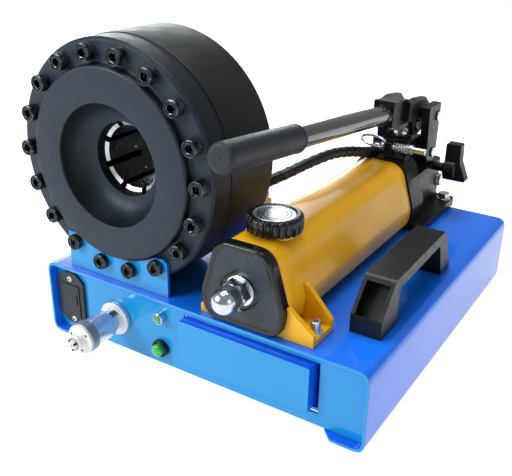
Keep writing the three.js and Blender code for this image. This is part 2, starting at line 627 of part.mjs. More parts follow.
function addPumpBody(pump) {
  const { halfWidth, front, rear, bottom, plate, plateHalf, top, headRear, headGrow } = BODY;
  const foot = alongZ(rectangle(-plateHalf, plateHalf, front, rear + 1, 8), bottom, plate);
  const core = alongZ(rectangle(-halfWidth, halfWidth, front, rear, 10), plate - 1, top);
  const tankHead = alongY(tankSection(headGrow), front, headRear);
  const half = TOWER.halfWidth;
  const tower = alongZ(rectangle(-half, half, TOWER.front, TOWER.rear, 4), top - 1, TOWER.top);
  const bridge = block(-half, half, headRear - 1, TOWER.front + 1, top - 1, TANK.top - 4);
  const neck = rod("z", TOWER.neck, TOWER.top - 1, TOWER.neckTop, 20).translate(0, PLUNGER.y, 0);
  const linkLug = alongX(outline([
    [LINK.pivotY - 16, top - 1], [BODY.rear - 14, top - 1], [BODY.rear - 20, LINK.pivotZ + 14, 6],
    [LINK.pivotY - 4, LINK.pivotZ + 14, 6],
  ]), -LINK.inner + 0.5, LINK.inner - 0.5);
  const port = HOSE.fittingX;
  const portBlock = block(port - 10, port + 12, headRear + 1, TOWER.front + 3, top - 1, HOSE.fittingZ + 11);
  const hoseGroove = rod("y", HOSE.groove, front - 1, headRear + 1).translate(port, 0, HOSE.fittingZ);
  const pad = alongX(outline([
    [LUG.front, top], [LUG.rear, top], [LUG.rear, LUG.padTop, 3], [LUG.front, LUG.padTop, 3],
  ]), LUG.left, LUG.padRight - 12);
  const pinLug = alongX(outline([
    [LUG.front, top], [LUG.rear, top], [LUG.rear - 2, LOCK.z + 7, 5], [LUG.front + 1, LOCK.z + 7, 5],
  ]), LUG.left, LUG.right);
  const plungerBore = rod("z", PLUNGER.radius + 0.4, PLUNGER.bottom - 4, TOWER.neckTop + 1, 20)
    .translate(0, PLUNGER.y, 0);
  const linkBore = rod("x", FULCRUM.pin + 0.4, -LINK.inner - 1, LINK.inner + 1, 16)
    .translate(0, LINK.pivotY, LINK.pivotZ);
  const lockBore = rod("x", LOCK.radius + 0.4, LUG.left - 2, LUG.right + 1, 12).translate(0, LOCK.y, LOCK.z);
  const hoseBore = rod("y", HOSE.bore, headRear, TOWER.front + 5, 12).translate(port, 0, HOSE.fittingZ);
  const valveBore = rod("x", RELEASE.stem + 0.4, halfWidth - 8, halfWidth + 1, 12)
    .translate(0, RELEASE.y, RELEASE.z);
  const plugBore = rod("x", PLUG.bore, halfWidth - 7, halfWidth + 1, 12).translate(0, PLUG.y, PLUG.z);
  const boltBores = [-1, 1].map((side) =>
    rod("z", BODY_BOLT.bore, -1, plate + 1, 10).translate(side * BODY_BOLT.x, BODY_BOLT.y, 0));
  mesh("pump_body", carve(
    [foot, core, tankHead, tower, bridge, neck, linkLug, portBlock, pad, pinLug],
    [plungerBore, linkBore, lockBore, hoseGroove, hoseBore, valveBore, plugBore, ...boltBores],
  ), FINISH.black(), pump);
}

// The ram ends in an eye with its cross pin pressed in
function addPlunger(pump) {
  const ram = rod("z", PLUNGER.radius, PLUNGER.bottom, PLUNGER.pinZ - 6, 20);
  const eye = block(-9, 9, -9, 9, PLUNGER.pinZ - 8, PLUNGER.pinZ + 9);
  const pin = rod("x", PLUNGER.pin, -21.5, 21.5, 14).translate(0, 0, PLUNGER.pinZ);
  mesh("pump_plunger", carve([ram, eye, pin]), FINISH.steel(), pump, [0, PLUNGER.y, 0]);
}

// Two side plates joined by the pins pressed through them
function addLink(pump) {
  const plate = outline([
    [LINK.front + 6, LINK.bottom, 8], [LINK.rear - 2, LINK.bottom, 8], [LINK.rear, LINK.top, 3],
    [LINK.front, LINK.top, 3],
  ]);
  const plates = [alongX(plate, -LINK.outer, -LINK.inner), alongX(plate, LINK.inner, LINK.outer)];
  const reach = LINK.outer + 2;
  const pins = [[LINK.pivotY, LINK.pivotZ], [FULCRUM.y, FULCRUM.z]].map(([y, z]) =>
    rod("x", FULCRUM.pin, -reach, reach, 16).translate(0, y, z));
  mesh("pump_link", carve([...plates, ...pins]), FINISH.black(), pump);
}

function addLever(pump) {
  const slope = THREE.MathUtils.degToRad(-LEVER.slope);
  const lever = frameAt(pump, 0, LEVER.y, LEVER.z);
  lever.rotation.x = slope;
  const tilt = (geometry) => geometry.rotateX(slope).translate(0, LEVER.y, LEVER.z);

  const { halfWidth, top, bottom } = SOCKET;
  const start = SOCKET.front - LEVER.y;
  const end = SOCKET.rear - LEVER.y;
  const sleeve = tilt(block(-halfWidth, halfWidth, start, end, bottom, top));
  const crossbar = tilt(block(-ROCKER.outer, ROCKER.outer, end - 10, end, bottom + 4, top - 2));
  const cheek = outline([
    [125, 146, 3], [125, 127, 2], [135, 121, 4], [141, 102, 6], [160, 102, 6], [172, 107, 6], [191, 110, 6],
    [191, 130, 6], [172, 144, 8], [140, 148, 6],
  ]);
  cheek.holes.push(
    circle(FULCRUM.y, FULCRUM.z, FULCRUM.pin + 0.4),
    circle(PLUNGER.y, PLUNGER.pinZ, PLUNGER.pin + 2.9),
  );
  const cheeks = [alongX(cheek, -ROCKER.outer, -ROCKER.inner), alongX(cheek, ROCKER.inner, ROCKER.outer)];
  const tubeBore = tilt(rod("y", LEVER.tube + 0.4, start - 1, -6, 20));
  mesh("handle_socket", carve([sleeve, crossbar, ...cheeks], [tubeBore]), FINISH.black(), pump);

  const tube = rod("y", LEVER.tube, -LEVER.tubeFront, -LEVER.tubeRear, 20);
  const hollow = rod("y", LEVER.tube - 2.5, -LEVER.tubeFront - 1, -20, 16);
  mesh("handle_tube", carve([tube], [hollow]), FINISH.black(), lever);

  const gripRear = -GRIP.front + GRIP.length;
  const grip = turned([
    [0, -GRIP.front], [GRIP.radius - 3, -GRIP.front], [GRIP.radius, -GRIP.front + 3],
    [GRIP.radius, gripRear - 5], [GRIP.radius + 0.6, gripRear - 3], [GRIP.radius, gripRear],
    [LEVER.tube + 0.4, gripRear], [LEVER.tube + 0.4, -LEVER.tubeFront - 0.4], [0, -LEVER.tubeFront - 0.4],
  ], 20);
  mesh("handle_grip", grip, FINISH.rubber(), lever);
}

function addLockPin(pump) {
  const shaft = rod("x", LOCK.radius, LOCK.left, LOCK.right, 14);
  const collar = rod("x", LOCK.radius + 1.8, LOCK.collarFrom, LOCK.collarTo, 14);
  const eye = rod("y", LOCK.eye, -10, 10, 10).translate(LOCK.left + 4, 0, 0);
  mesh("lock_pin", carve([shaft, collar], [eye]), FINISH.steel(), pump, [0, LOCK.y, LOCK.z]);
}

function addReleaseKnob(pump) {
  const { stem, hubStart, hubEnd, hub, wing, wingTop } = RELEASE;
  const knob = frameAt(pump, 0, RELEASE.y, RELEASE.z);
  const shaft = rod("x", stem, BODY.halfWidth - 7, hubStart + 2, 14);
  const boss = turned([
    [0, hubStart], [hub - 2, hubStart], [hub, hubStart + 2], [hub, hubEnd - 2], [hub - 2, hubEnd],
    [0, hubEnd],
  ], 18).rotateZ(-Math.PI / 2);
  const paddle = alongY(outline([
    [hubStart + 0.6, -hub, 2], [hubEnd + 14, -hub, 3], [hubEnd + 4, wingTop / 3], [hubEnd + 3, wingTop, 2],
    [hubStart + 1, wingTop, 2],
  ]), -wing, wing);
  mesh("release_knob", carve([shaft, boss, paddle]), FINISH.black(), knob);
}

// ---------------------------------------------------------------- hose

function addHose() {
  const [portX, , portZ] = portPlace(0);
  const from = new THREE.Vector3(HEAD.x + portX, BARREL.rear + 27, HEAD.z + portZ + 16);
  const to = new THREE.Vector3(PUMP.x + HOSE.fittingX, HOSE.fittingY, BASE.height + HOSE.fittingZ);
  const lead = 6;
  const route = new THREE.CatmullRomCurve3([
    from,
    new THREE.Vector3(from.x, from.y, from.z + lead),
    new THREE.Vector3(1, -55, 172),
    new THREE.Vector3(12, -42, 178),
    new THREE.Vector3(24, -12, 184.5),
    new THREE.Vector3(32, 24, 186),
    new THREE.Vector3(39, 58, 181),
    new THREE.Vector3(43.5, 82, 175),
    new THREE.Vector3(44, 95, 171.9),
    new THREE.Vector3(to.x, to.y - lead, to.z),
    to,
  ]);
  const section = new THREE.Shape();
  section.absarc(0, 0, HOSE.radius, 0, 2 * Math.PI);
  const hose = new THREE.ExtrudeGeometry(section, {
    steps: 28, curveSegments: 5, bevelEnabled: false, extrudePath: route,
  });
  mesh("hydraulic_hose", hose, FINISH.black(), machine);

  const nut = (length) => new THREE.CylinderGeometry(HOSE.nut, HOSE.nut, length, 6).rotateY(Math.PI / 6);
  const nearPump = frameAt(machine, to.x, 0, to.z);
  const ferrule = rod("y", HOSE.ferrule, to.y + GAP, to.y + 8, 16);
  const pumpNut = nut(8).translate(0, to.y + 11.4, 0);
  const pumpTail = rod("y", HOSE.bore - 0.4, to.y + 14, to.y + 21, 12);
  mesh("hose_fitting_pump", carve([ferrule, pumpNut, pumpTail]), FINISH.steel(), nearPump);

  const nearHead = frameAt(machine, from.x, from.y, from.z);
  const upFerrule = rod("z", HOSE.ferrule, -9, -GAP, 16);
  const elbow = block(-7.5, 7.5, -8, 7.5, -23.5, -8);
  const headTail = rod("y", 6, -34, -6, 12).translate(0, 0, -16);
  const headNut = nut(12).translate(0, -18.4, -16);
  mesh("hose_fitting_head", carve([upFerrule, elbow, headTail, headNut]), FINISH.steel(), nearHead);
}

// ---------------------------------------------------------------- carrying handle

function addCarryHandle() {
  const { x, halfWidth, front, rear, height } = CARRY;
  const carry = frameAt(machine, x, 0, BASE.height);
  const side = outline([
    [front, GAP], [front + 37, GAP], [front + 37, height - 15, 4], [rear - 38, height - 13, 4],
    [rear - 25, GAP], [rear, GAP], [rear, 6, 2], [rear - 24, height - 1, 8], [front + 27, height - 3, 8],
    [front, 19, 2],
  ]);
  const pocket = (sign, y, z, lean) => block(-11.5, 11.5, -17, 17, -13, 13)
    .rotateX(THREE.MathUtils.degToRad(sign * lean)).translate(0, y, z);
  mesh("carry_handle", carve([alongX(side, -halfWidth, halfWidth)],
    [pocket(1, front + 13, 30, 46), pocket(-1, rear - 9, 32, 60)]), FINISH.plastic(), carry);
}

// ---------------------------------------------------------------- assembly

addBase();
addBatteryHolder();
addDial();
addLampAndButton();
addDieDrawer();
addHead();

const pump = frameAt(machine, PUMP.x, 0, BASE.height);
addTank(pump);
addFiller(pump);
addTankFoot(pump);
addPumpBody(pump);
addPlunger(pump);
addLink(pump);
addLever(pump);
addLockPin(pump);
addReleaseKnob(pump);
addHose();
addCarryHandle();

export default machine;
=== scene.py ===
"""Studio view of a bench-top hydraulic crimping press with a hand pump.

Lengths below are millimetres. x and y count from the middle of the base, z from the bench, and a piece on the
head, the pump or the panel is built in that assembly's own coordinates.
"""

import math

import bmesh
import bpy
from mathutils import Matrix, Vector


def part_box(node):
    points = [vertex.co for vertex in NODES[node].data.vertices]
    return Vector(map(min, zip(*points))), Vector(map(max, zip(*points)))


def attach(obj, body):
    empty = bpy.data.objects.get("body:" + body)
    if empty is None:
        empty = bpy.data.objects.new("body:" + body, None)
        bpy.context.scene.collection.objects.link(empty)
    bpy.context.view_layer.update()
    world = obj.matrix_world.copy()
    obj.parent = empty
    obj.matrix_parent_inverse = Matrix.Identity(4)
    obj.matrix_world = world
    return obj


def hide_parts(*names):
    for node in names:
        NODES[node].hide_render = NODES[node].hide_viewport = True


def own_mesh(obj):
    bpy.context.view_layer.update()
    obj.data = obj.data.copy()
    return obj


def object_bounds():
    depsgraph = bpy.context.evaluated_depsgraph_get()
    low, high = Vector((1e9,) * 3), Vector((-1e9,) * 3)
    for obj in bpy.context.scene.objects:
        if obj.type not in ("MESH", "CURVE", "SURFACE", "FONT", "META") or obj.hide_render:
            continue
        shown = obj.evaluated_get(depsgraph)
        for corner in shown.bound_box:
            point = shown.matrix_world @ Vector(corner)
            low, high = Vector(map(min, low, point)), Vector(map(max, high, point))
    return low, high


MM = 0.001
TURN = 2 * math.pi

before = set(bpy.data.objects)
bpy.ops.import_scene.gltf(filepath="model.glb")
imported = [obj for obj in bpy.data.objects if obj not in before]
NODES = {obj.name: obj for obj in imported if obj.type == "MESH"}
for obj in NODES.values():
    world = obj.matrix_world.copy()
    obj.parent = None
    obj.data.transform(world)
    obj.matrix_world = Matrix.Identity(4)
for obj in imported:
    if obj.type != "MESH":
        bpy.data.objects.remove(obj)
CAD_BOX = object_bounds()

# ---------------------------------------------------------------- where the assemblies stand


def middle(node):
    low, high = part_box(node)
    return (low + high) / (2 * MM)


def low(node):
    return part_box(node)[0] / MM


def high(node):
    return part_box(node)[1] / MM


BASE = middle("base_shell")
DECK = high("base_shell").z
PANEL_FACE = low("front_panel").y
HEAD_CENTRE = middle("head_barrel")
PUMP_X = middle("pump_body").x

FLOOR = Matrix.Translation((BASE.x, BASE.y, 0))
PANEL = Matrix.Translation((BASE.x, PANEL_FACE, 0))
HEAD = Matrix.Translation((HEAD_CENTRE.x, BASE.y, HEAD_CENTRE.z))
PUMP = Matrix.Translation((PUMP_X, BASE.y, DECK))

# ---------------------------------------------------------------- sizes

COVER = {"flange": 119.7, "face": -187.5, "back": -160.2, "disc": 95.8, "disc_face": -196.4, "chamfer": 2.8}
FUNNEL = {"mouth": 60.9, "wall": (57, 25), "throat": (38, 28.4), "steps": 18}
BARREL = {"bore": 100.2, "radius": 120.6, "front": -159.9, "rear": -87, "chamfer": 3}
REAR_COVER = {"front": -102.5, "rear": -88.5, "hub_rear": -81, "hub": 58, "bore": 42}
BOLTS = {"count": 18, "first": 100, "circle": 107, "head": 8.2, "height": 10, "low_height": 6.3, "key": 8}
BRACKET_TOP = 124
BRACKET_SHEET = 3.2
DIE = {"count": 8, "bore": 32, "chamfer": 3.6, "front": -159.5, "rear": -106, "side_gap": 3.25, "step": 2}
CONE = {"front": -140, "apothem": 78.35, "slope": math.tan(math.radians(25)), "gap": 0.4}
TANK = {"bottom": 2.5, "waist": 28, "top": 81.5, "front": -186.7, "rear": 95}
TANK_HALF = {"bottom": 40, "waist": 43.6, "top": 27}
END_CAP = {"front": -199, "rear": -187, "grow": 1, "shift": -1.2, "recess": 19, "depth": 3, "round": 2.6}
TIE = {"x": -3.5, "z": 38, "seat": -196.3, "washer": 15, "hexagon": 14.2, "dome": 12.3}
FILLER = {"x": 4, "y": -151, "bottom": 84.6, "top": 100, "radius": 26.5, "plate": 20.2, "scallops": 26}
LEVER = {"y": 116, "z": 133, "slope": 6.35, "tube": 10.75, "front": 340, "rear": 9, "grip_end": 350, "grip": 13.5}
GRIP_LENGTH = 122
LOCK = {"y": 108, "z": 95.5, "left": -5, "ring": 15.5, "wire": 1.5}
DIAL = {
    "x": -102, "z": 38.8, "flange": 18.5, "flange_face": -5.5, "hub": 11.6, "hub_end": -44, "sleeve": 14.6,
    "sleeve_start": -17, "band": 16.2, "band_start": -42, "disc": 15.7, "disc_face": -55, "boss": 8.3,
    "boss_face": -63, "spindle": 3, "reach": 70,
}
LAMP = {"x": -40.6, "z": 59.5}
BUTTON = {"x": -42.6, "z": 22.4}
HOSE_RADIUS = 6.1

# ---------------------------------------------------------------- materials


def shader(name):
    material = bpy.data.materials.new(name)
    material.use_nodes = True
    nodes = material.node_tree.nodes
    return material, nodes, material.node_tree.links, nodes["Principled BSDF"]


def noise(nodes, links, vector, size, detail=3.0):
    """Noise with features of about size millimetres."""
    node = nodes.new("ShaderNodeTexNoise")
    node.inputs["Scale"].default_value = 1 / (size * MM)
    node.inputs["Detail"].default_value = detail
    links.new(vector, node.inputs["Vector"])
    return node.outputs["Fac"]


def ranged(nodes, links, value, low_in, high_in, low_out, high_out):
    node = nodes.new("ShaderNodeMapRange")
    links.new(value, node.inputs["Value"])
    for socket, number in zip(("From Min", "From Max", "To Min", "To Max"), (low_in, high_in, low_out, high_out)):
        node.inputs[socket].default_value = number
    return node.outputs["Result"]


def mixed(nodes, links, factor, first, second):
    node = nodes.new("ShaderNodeMix")
    node.data_type = "RGBA"
    links.new(factor, node.inputs["Factor"])
    for socket, value in (("A", first), ("B", second)):
        target = next(i for i in node.inputs if i.name == socket and i.type == "RGBA")
        if isinstance(value, bpy.types.NodeSocket):
            links.new(value, target)
        else:
            target.default_value = (*value, 1)
    return next(o for o in node.outputs if o.type == "RGBA")


def surface(name, colour, roughness, metallic=0.0, coat=0.0, tint=0.1, patch=35, smudge=0.1, grain=(1.0, 0.2),
            stretch=(1, 1, 1), edge=None, shine=0.5, front=None):
    """A finish with drifting colour, smudged gloss and a fine grain of (size, depth) in millimetres.

    edge is the (colour, strength) that wear along the edges shows, shine is how much a painted face reflects, and
    front is painted light: a lighter colour mixed onto the faces that look towards -Y, in place of the light falling on
    them."""
    material, nodes, links, bsdf = shader(name)
    coordinates = nodes.new("ShaderNodeTexCoord").outputs["Object"]
    mapping = nodes.new("ShaderNodeMapping")
    mapping.inputs["Scale"].default_value = stretch
    links.new(coordinates, mapping.inputs["Vector"])
    grainy = mapping.outputs["Vector"]

    dark = [channel * (1 - tint) for channel in colour]
    light = [min(1.0, channel * (1 + tint)) for channel in colour]
    drift = ranged(nodes, links, noise(nodes, links, coordinates, patch), 0.3, 0.7, 0, 1)
    shade = mixed(nodes, links, drift, dark, light)
    # painted light: faces that look towards -Y get the lighter front colour, standing in for the light that falls on
    # them
    if front is not None:
        split = nodes.new("ShaderNodeSeparateXYZ")
        links.new(nodes.new("ShaderNodeTexCoord").outputs["Normal"], split.inputs["Vector"])
        front_light_mask = ranged(nodes, links, split.outputs["Y"], -0.25, -0.9, 0, 1)
        shade = mixed(nodes, links, front_light_mask, shade, front)
    if edge is not None:
        worn_colour, strength = edge
        bevel = nodes.new("ShaderNodeBevel")
        bevel.samples = 4
        bevel.inputs["Radius"].default_value = 0.9 * MM
        geometry = nodes.new("ShaderNodeNewGeometry")
        facing = nodes.new("ShaderNodeVectorMath")
        facing.operation = "DOT_PRODUCT"
        links.new(bevel.outputs["Normal"], facing.inputs[0])
        links.new(geometry.outputs["Normal"], facing.inputs[1])
        on_edge = ranged(nodes, links, facing.outputs["Value"], 0.995, 0.86, 0, strength)
        rubbed = ranged(nodes, links, noise(nodes, links, coordinates, 6, 5), 0.42, 0.62, 0, 1)
        both = nodes.new("ShaderNodeMath")
        both.operation = "MULTIPLY"
        links.new(on_edge, both.inputs[0])
        links.new(rubbed, both.inputs[1])
        shade = mixed(nodes, links, both.outputs["Value"], shade, worn_colour)
    links.new(shade, bsdf.inputs["Base Color"])

    smear = noise(nodes, links, grainy, patch / 3, 4)
    gloss = ranged(nodes, links, smear, 0.3, 0.7, max(0.02, roughness - smudge), min(1.0, roughness + smudge))
    links.new(gloss, bsdf.inputs["Roughness"])

    size, depth = grain
    bump = nodes.new("ShaderNodeBump")
    bump.inputs["Strength"].default_value = 1.0
    bump.inputs["Distance"].default_value = depth * MM
    links.new(noise(nodes, links, grainy, size, 2), bump.inputs["Height"])
    links.new(bump.outputs["Normal"], bsdf.inputs["Normal"])

    bsdf.inputs["Metallic"].default_value = metallic
    bsdf.inputs["Specular IOR Level"].default_value = shine
    bsdf.inputs["Coat Weight"].default_value = coat
    bsdf.inputs["Coat Roughness"].default_value = 0.12
    return material


LATHE_LINES = (0.05, 1, 0.05)
# painted light: front= gives the faces that look towards -Y a lighter, greener blue, standing in for the light on them
BLUE = surface("blue enamel", (0.006, 0.150, 0.80), 0.14, coat=0.25, tint=0.08, patch=70, smudge=0.05,
               grain=(2.4, 0.012), edge=((0.10, 0.40, 0.85), 0.5), shine=0.3, front=(0.008, 0.265, 0.60))
YELLOW = surface("yellow enamel", (0.80, 0.40, 0.006), 0.34, coat=0.18, tint=0.09, patch=45, smudge=0.06,
                 grain=(3.0, 0.025), edge=((0.92, 0.58, 0.10), 0.4), shine=0.3)
# painted light: front= makes the faces that look towards -Y lighter, standing in for the light that falls on them
HEAD_PAINT = surface("blue-black head coating", (0.0045, 0.0075, 0.011), 0.44, tint=0.12, patch=30, smudge=0.07,
                     grain=(1.4, 0.34), edge=((0.08, 0.12, 0.17), 0.7), shine=0.3, front=(0.011, 0.021, 0.036))
BARREL_PAINT = surface("black barrel coating", (0.0055, 0.0075, 0.009), 0.46, tint=0.15, patch=40, smudge=0.06,
                       grain=(1.2, 0.08), edge=((0.05, 0.06, 0.07), 0.6), shine=0.3)
BLACK_CAST = surface("black cast iron", (0.004, 0.0045, 0.005), 0.36, tint=0.2, patch=22, smudge=0.1,
                     grain=(1.6, 0.08), edge=((0.05, 0.055, 0.06), 0.7), shine=0.25)
BLACK_TUBE = surface("black lever enamel", (0.020, 0.024, 0.025), 0.2, coat=1.0, tint=0.15, patch=30, smudge=0.07,
                     grain=(2.5, 0.02), shine=0.6)
OXIDE = surface("black oxide", (0.010, 0.012, 0.016), 0.26, metallic=0.7, tint=0.25, patch=5, smudge=0.1,
                grain=(0.6, 0.03), edge=((0.55, 0.60, 0.66), 1.0), shine=0.4)
DIE_STEEL = surface("dark die steel", (0.030, 0.032, 0.028), 0.34, metallic=0.5, tint=0.4, patch=9, smudge=0.14,
                    grain=(0.8, 0.05), edge=((0.25, 0.24, 0.22), 0.8), shine=0.3)
BARE_STEEL = surface("bare ground steel", (0.62, 0.66, 0.68), 0.34, metallic=0.7, tint=0.1, patch=8, smudge=0.08,
                     grain=(0.5, 0.012))
STEEL = surface("bright steel", (0.66, 0.67, 0.68), 0.25, metallic=1.0, tint=0.12, patch=10, smudge=0.1,
                grain=(0.7, 0.02))
ZINC = surface("zinc plate", (0.62, 0.64, 0.66), 0.3, metallic=1.0, tint=0.12, patch=5, smudge=0.1,
               grain=(0.6, 0.02))
CHROME = surface("polished chrome", (0.60, 0.65, 0.70), 0.19, metallic=1.0, tint=0.05, patch=9, smudge=0.06,
                 grain=(1.0, 0.006))
DIAL_METAL = surface("turned satin chrome", (0.66, 0.72, 0.78), 0.24, metallic=0.75, tint=0.06, patch=8,
                     smudge=0.07,
                     grain=(0.35, 0.014), stretch=LATHE_LINES)
DIAL_FACE = surface("ground white face", (0.74, 0.74, 0.70), 0.45, metallic=0.15, tint=0.06, patch=6, smudge=0.08,
                    grain=(0.5, 0.03))
KNURLED = surface("grey turned band", (0.30, 0.34, 0.38), 0.36, metallic=0.7, tint=0.15, patch=5, smudge=0.1,
                  grain=(0.35, 0.05), stretch=LATHE_LINES)
# near-black used two ways: the real ink of the engraved scale marks on the dial hub, and painted shade on small pieces
# that stand in for holes and crossed slots
MARK_INK_AND_HOLLOW_SHADE = surface("mark ink and painted hollow shade", (0.006, 0.0065, 0.007), 0.6, tint=0.2, patch=4, smudge=0.1, grain=(0.6, 0.02),
                    shine=0.2)
TEXTURED = surface("pebbled black plastic", (0.010, 0.019, 0.032), 0.40, tint=0.16, patch=14, smudge=0.08,
                   grain=(1.5, 0.75), shine=0.5)
PLASTIC = surface("black moulded plastic", (0.003, 0.004, 0.0045), 0.4, tint=0.16, patch=20, smudge=0.08,
                  grain=(0.8, 0.05), edge=((0.04, 0.046, 0.05), 0.7), shine=0.35)
CASE_PLASTIC = surface("grey-black case plastic", (0.020, 0.024, 0.030), 0.42, tint=0.12, patch=14, smudge=0.07,
                       grain=(0.6, 0.05), shine=0.3)
CAP_PLASTIC = surface("black cap plastic", (0.004, 0.0045, 0.005), 0.26, coat=0.2, tint=0.2, patch=8, smudge=0.08,
                      grain=(0.7, 0.03), shine=0.35)
GRIP_RUBBER = surface("pebbled grip rubber", (0.007, 0.010, 0.014), 0.42, tint=0.14, patch=16, smudge=0.07,
                      grain=(1.1, 0.55), shine=0.4)
HOSE_RUBBER = surface("hose rubber", (0.003, 0.0038, 0.004), 0.36, tint=0.2, patch=12, smudge=0.1, grain=(0.7, 0.05),
                      shine=0.4)
GREEN = surface("green button plastic", (0.010, 0.36, 0.045), 0.2, coat=0.6, tint=0.12, patch=5, smudge=0.04,
                grain=(2.0, 0.01))
GREEN_LENS = surface("green lamp lens", (0.02, 0.30, 0.05), 0.12, coat=1.0, tint=0.25, patch=2.5, smudge=0.04,
                     grain=(0.9, 0.03))
TORN_TAPE = surface("torn black wrap", (0.008, 0.012, 0.018), 0.22, coat=0.3, tint=0.3, patch=4, smudge=0.1,
                    grain=(2.2, 0.5), shine=0.4)
WHITE_SCREW = surface("bright screw plate", (0.78, 0.79, 0.78), 0.4, metallic=0.2, tint=0.08, patch=3, smudge=0.08,
                      grain=(0.5, 0.02))

# ---------------------------------------------------------------- mesh helpers


def rounded(points, closed=False, steps=5):
    """A line through (a, b) or (a, b, radius) points, with a true arc of that radius at each such corner."""
    line = []
    count = len(points)
    for i, point in enumerate(points):
        radius = point[2] if len(point) > 2 else 0
        if radius == 0 or (not closed and i in (0, count - 1)):
            line.append((point[0], point[1]))
            continue
        corner = Vector(point[:2])
        before = Vector(points[i - 1][:2]) - corner
        after = Vector(points[(i + 1) % count][:2]) - corner
        half = before.angle(after) / 2
        reach = min(radius / math.tan(half), before.length * 0.49, after.length * 0.49)
        radius = reach * math.tan(half)
        centre = corner + (before.normalized() + after.normalized()).normalized() * (radius / math.sin(half))
        start = corner + before.normalized() * reach - centre
        end = corner + after.normalized() * reach - centre
        first = math.atan2(start.y, start.x)
        sweep = (math.atan2(end.y, end.x) - first + math.pi) % TURN - math.pi
        for k in range(steps + 1):
            angle = first + sweep * k / steps
            line.append((centre.x + radius * math.cos(angle), centre.y + radius * math.sin(angle)))
    return line


def skin(mesh, rings, loop=False, material=0):
    """Joins rings of points into a tube, closed at both ends or back on itself."""
    made = [[mesh.verts.new(point) for point in ring] for ring in rings]
    count = len(made[0])
    pairs = list(zip(made, made[1:]))
    if loop:
        pairs.append((made[-1], made[0]))
    faces = []
    for one, two in pairs:
        for i in range(count):
            j = (i + 1) % count
            faces.append(mesh.faces.new((one[i], one[j], two[j], two[i])))
    if not loop:
        faces.append(mesh.faces.new(list(reversed(made[0]))))
        faces.append(mesh.faces.new(made[-1]))
    for face in faces:
        face.material_index = material


def along(axis, across, up, distance):
    """The point that far along the axis, with the other two coordinates in order."""
    return {"x": (distance, across, up), "y": (across, distance, up), "z": (across, up, distance)}[axis]


def spin(mesh, profile, axis="y", segments=72, shape=None, centre=(0, 0), loop=False, material=0):
    """Turns a line of (radius, distance) points about the axis. shape changes a radius by angle and distance."""
    rings = []
    for radius, distance in profile:
        ring = []
        for i in range(segments):
            angle = i * TURN / segments
            reach = max(0.001, shape(radius, angle, distance) if shape else radius)
            across, up = centre[0] + reach * math.cos(angle), centre[1] + reach * math.sin(angle)
            ring.append(along(axis, across, up, distance))
        rings.append(ring)
    skin(mesh, rings, loop, material)


def ring(mesh, profile, **options):
    """As spin, for a closed profile round an open middle."""
    spin(mesh, profile, loop=True, **options)


def hexagonal(corner, chamfer=0.0, near=0.0, far=0.0):
    """Turns a circle into a hexagon with that corner radius, its corners cut to a cone at both ends."""
    def shape(radius, angle, distance):
        flat = corner * math.cos(math.pi / 6) / math.cos(angle % (math.pi / 3) - math.pi / 6)
        end = min(abs(distance - near), abs(distance - far))
        return min(radius, flat, corner * 0.9 + end * chamfer if chamfer else flat)
    return shape


def tube(mesh, route, radius, sides=12, swell=None, material=0):
    """A tube along a list of points. swell changes the radius by the length so far and the angle round it."""
    points = [Vector(p) for p in route]
    tangent = (points[1] - points[0]).normalized()
    side = tangent.orthogonal().normalized()
    rings = []
    travelled = 0.0
    for i, point in enumerate(points):
        ahead = points[min(i + 1, len(points) - 1)] - points[max(i - 1, 0)]
        tangent = ahead.normalized()
        side = (side - tangent * side.dot(tangent)).normalized()
        other = tangent.cross(side)
        if i:
            travelled += (point - points[i - 1]).length
        loop = []
        for k in range(sides):
            angle = k * TURN / sides
            reach = swell(radius, travelled, angle) if swell else radius
            loop.append(point + side * (reach * math.cos(angle)) + other * (reach * math.sin(angle)))
        rings.append(loop)
    skin(mesh, rings, material=material)


def loft(mesh, outline, stations, axis="y", material=0):
    """Carries an (across, up) outline along the axis. A station is (distance, inset)."""
    count = len(outline)
    rings = []
    for distance, inset in stations:
        loop = []
        for i, (a, b) in enumerate(outline):
            ahead = Vector(outline[(i + 1) % count]) - Vector(outline[i - 1])
            inward = Vector((-ahead.y, ahead.x)).normalized()
            loop.append(along(axis, a + inward.x * inset, b + inward.y * inset, distance))
        rings.append(loop)
    skin(mesh, rings, material=material)


def shade(obj, angle=32):
    """Smooth faces, with a crease wherever two meet at more than the angle."""
    mesh = obj.data
    mesh.shade_smooth()
    mesh.set_sharp_from_angle(angle=math.radians(angle))


def piece(name, mesh, place, body, materials, stands_for=(), sharp=32):
    """Makes an object of the mesh, built in millimetres in the assembly's own coordinates."""
    bmesh.ops.remove_doubles(mesh, verts=mesh.verts, dist=0.004)
    bmesh.ops.recalc_face_normals(mesh, faces=mesh.faces)
    mesh.transform(Matrix.Diagonal((MM, MM, MM, 1)) @ place)
    data = bpy.data.meshes.new(name)
    mesh.to_mesh(data)
    mesh.free()
    obj = bpy.data.objects.new(name, data)
    bpy.context.scene.collection.objects.link(obj)
    for material in materials:
        data.materials.append(material)
    shade(obj, sharp)
    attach(obj, body)
    if stands_for:
        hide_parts(*stands_for)
    return obj


def smoothing_group():
    """Welds a frame mesh's loose corners and shades it smooth, as a modifier."""
    group = bpy.data.node_groups.new("weld and smooth", "GeometryNodeTree")
    group.interface.new_socket("Geometry", in_out="INPUT", socket_type="NodeSocketGeometry")
    group.interface.new_socket("Geometry", in_out="OUTPUT", socket_type="NodeSocketGeometry")
    start = group.nodes.new("NodeGroupInput")
    weld = group.nodes.new("GeometryNodeMergeByDistance")
    weld.inputs["Distance"].default_value = 0.002 * MM
    smooth = group.nodes.new("GeometryNodeSetShadeSmooth")
    end = group.nodes.new("NodeGroupOutput")
    group.links.new(start.outputs[0], weld.inputs["Geometry"])
    group.links.new(weld.outputs["Geometry"], smooth.inputs["Geometry"])
    group.links.new(smooth.outputs["Geometry"], end.inputs[0])
    return group


SMOOTHING = smoothing_group()


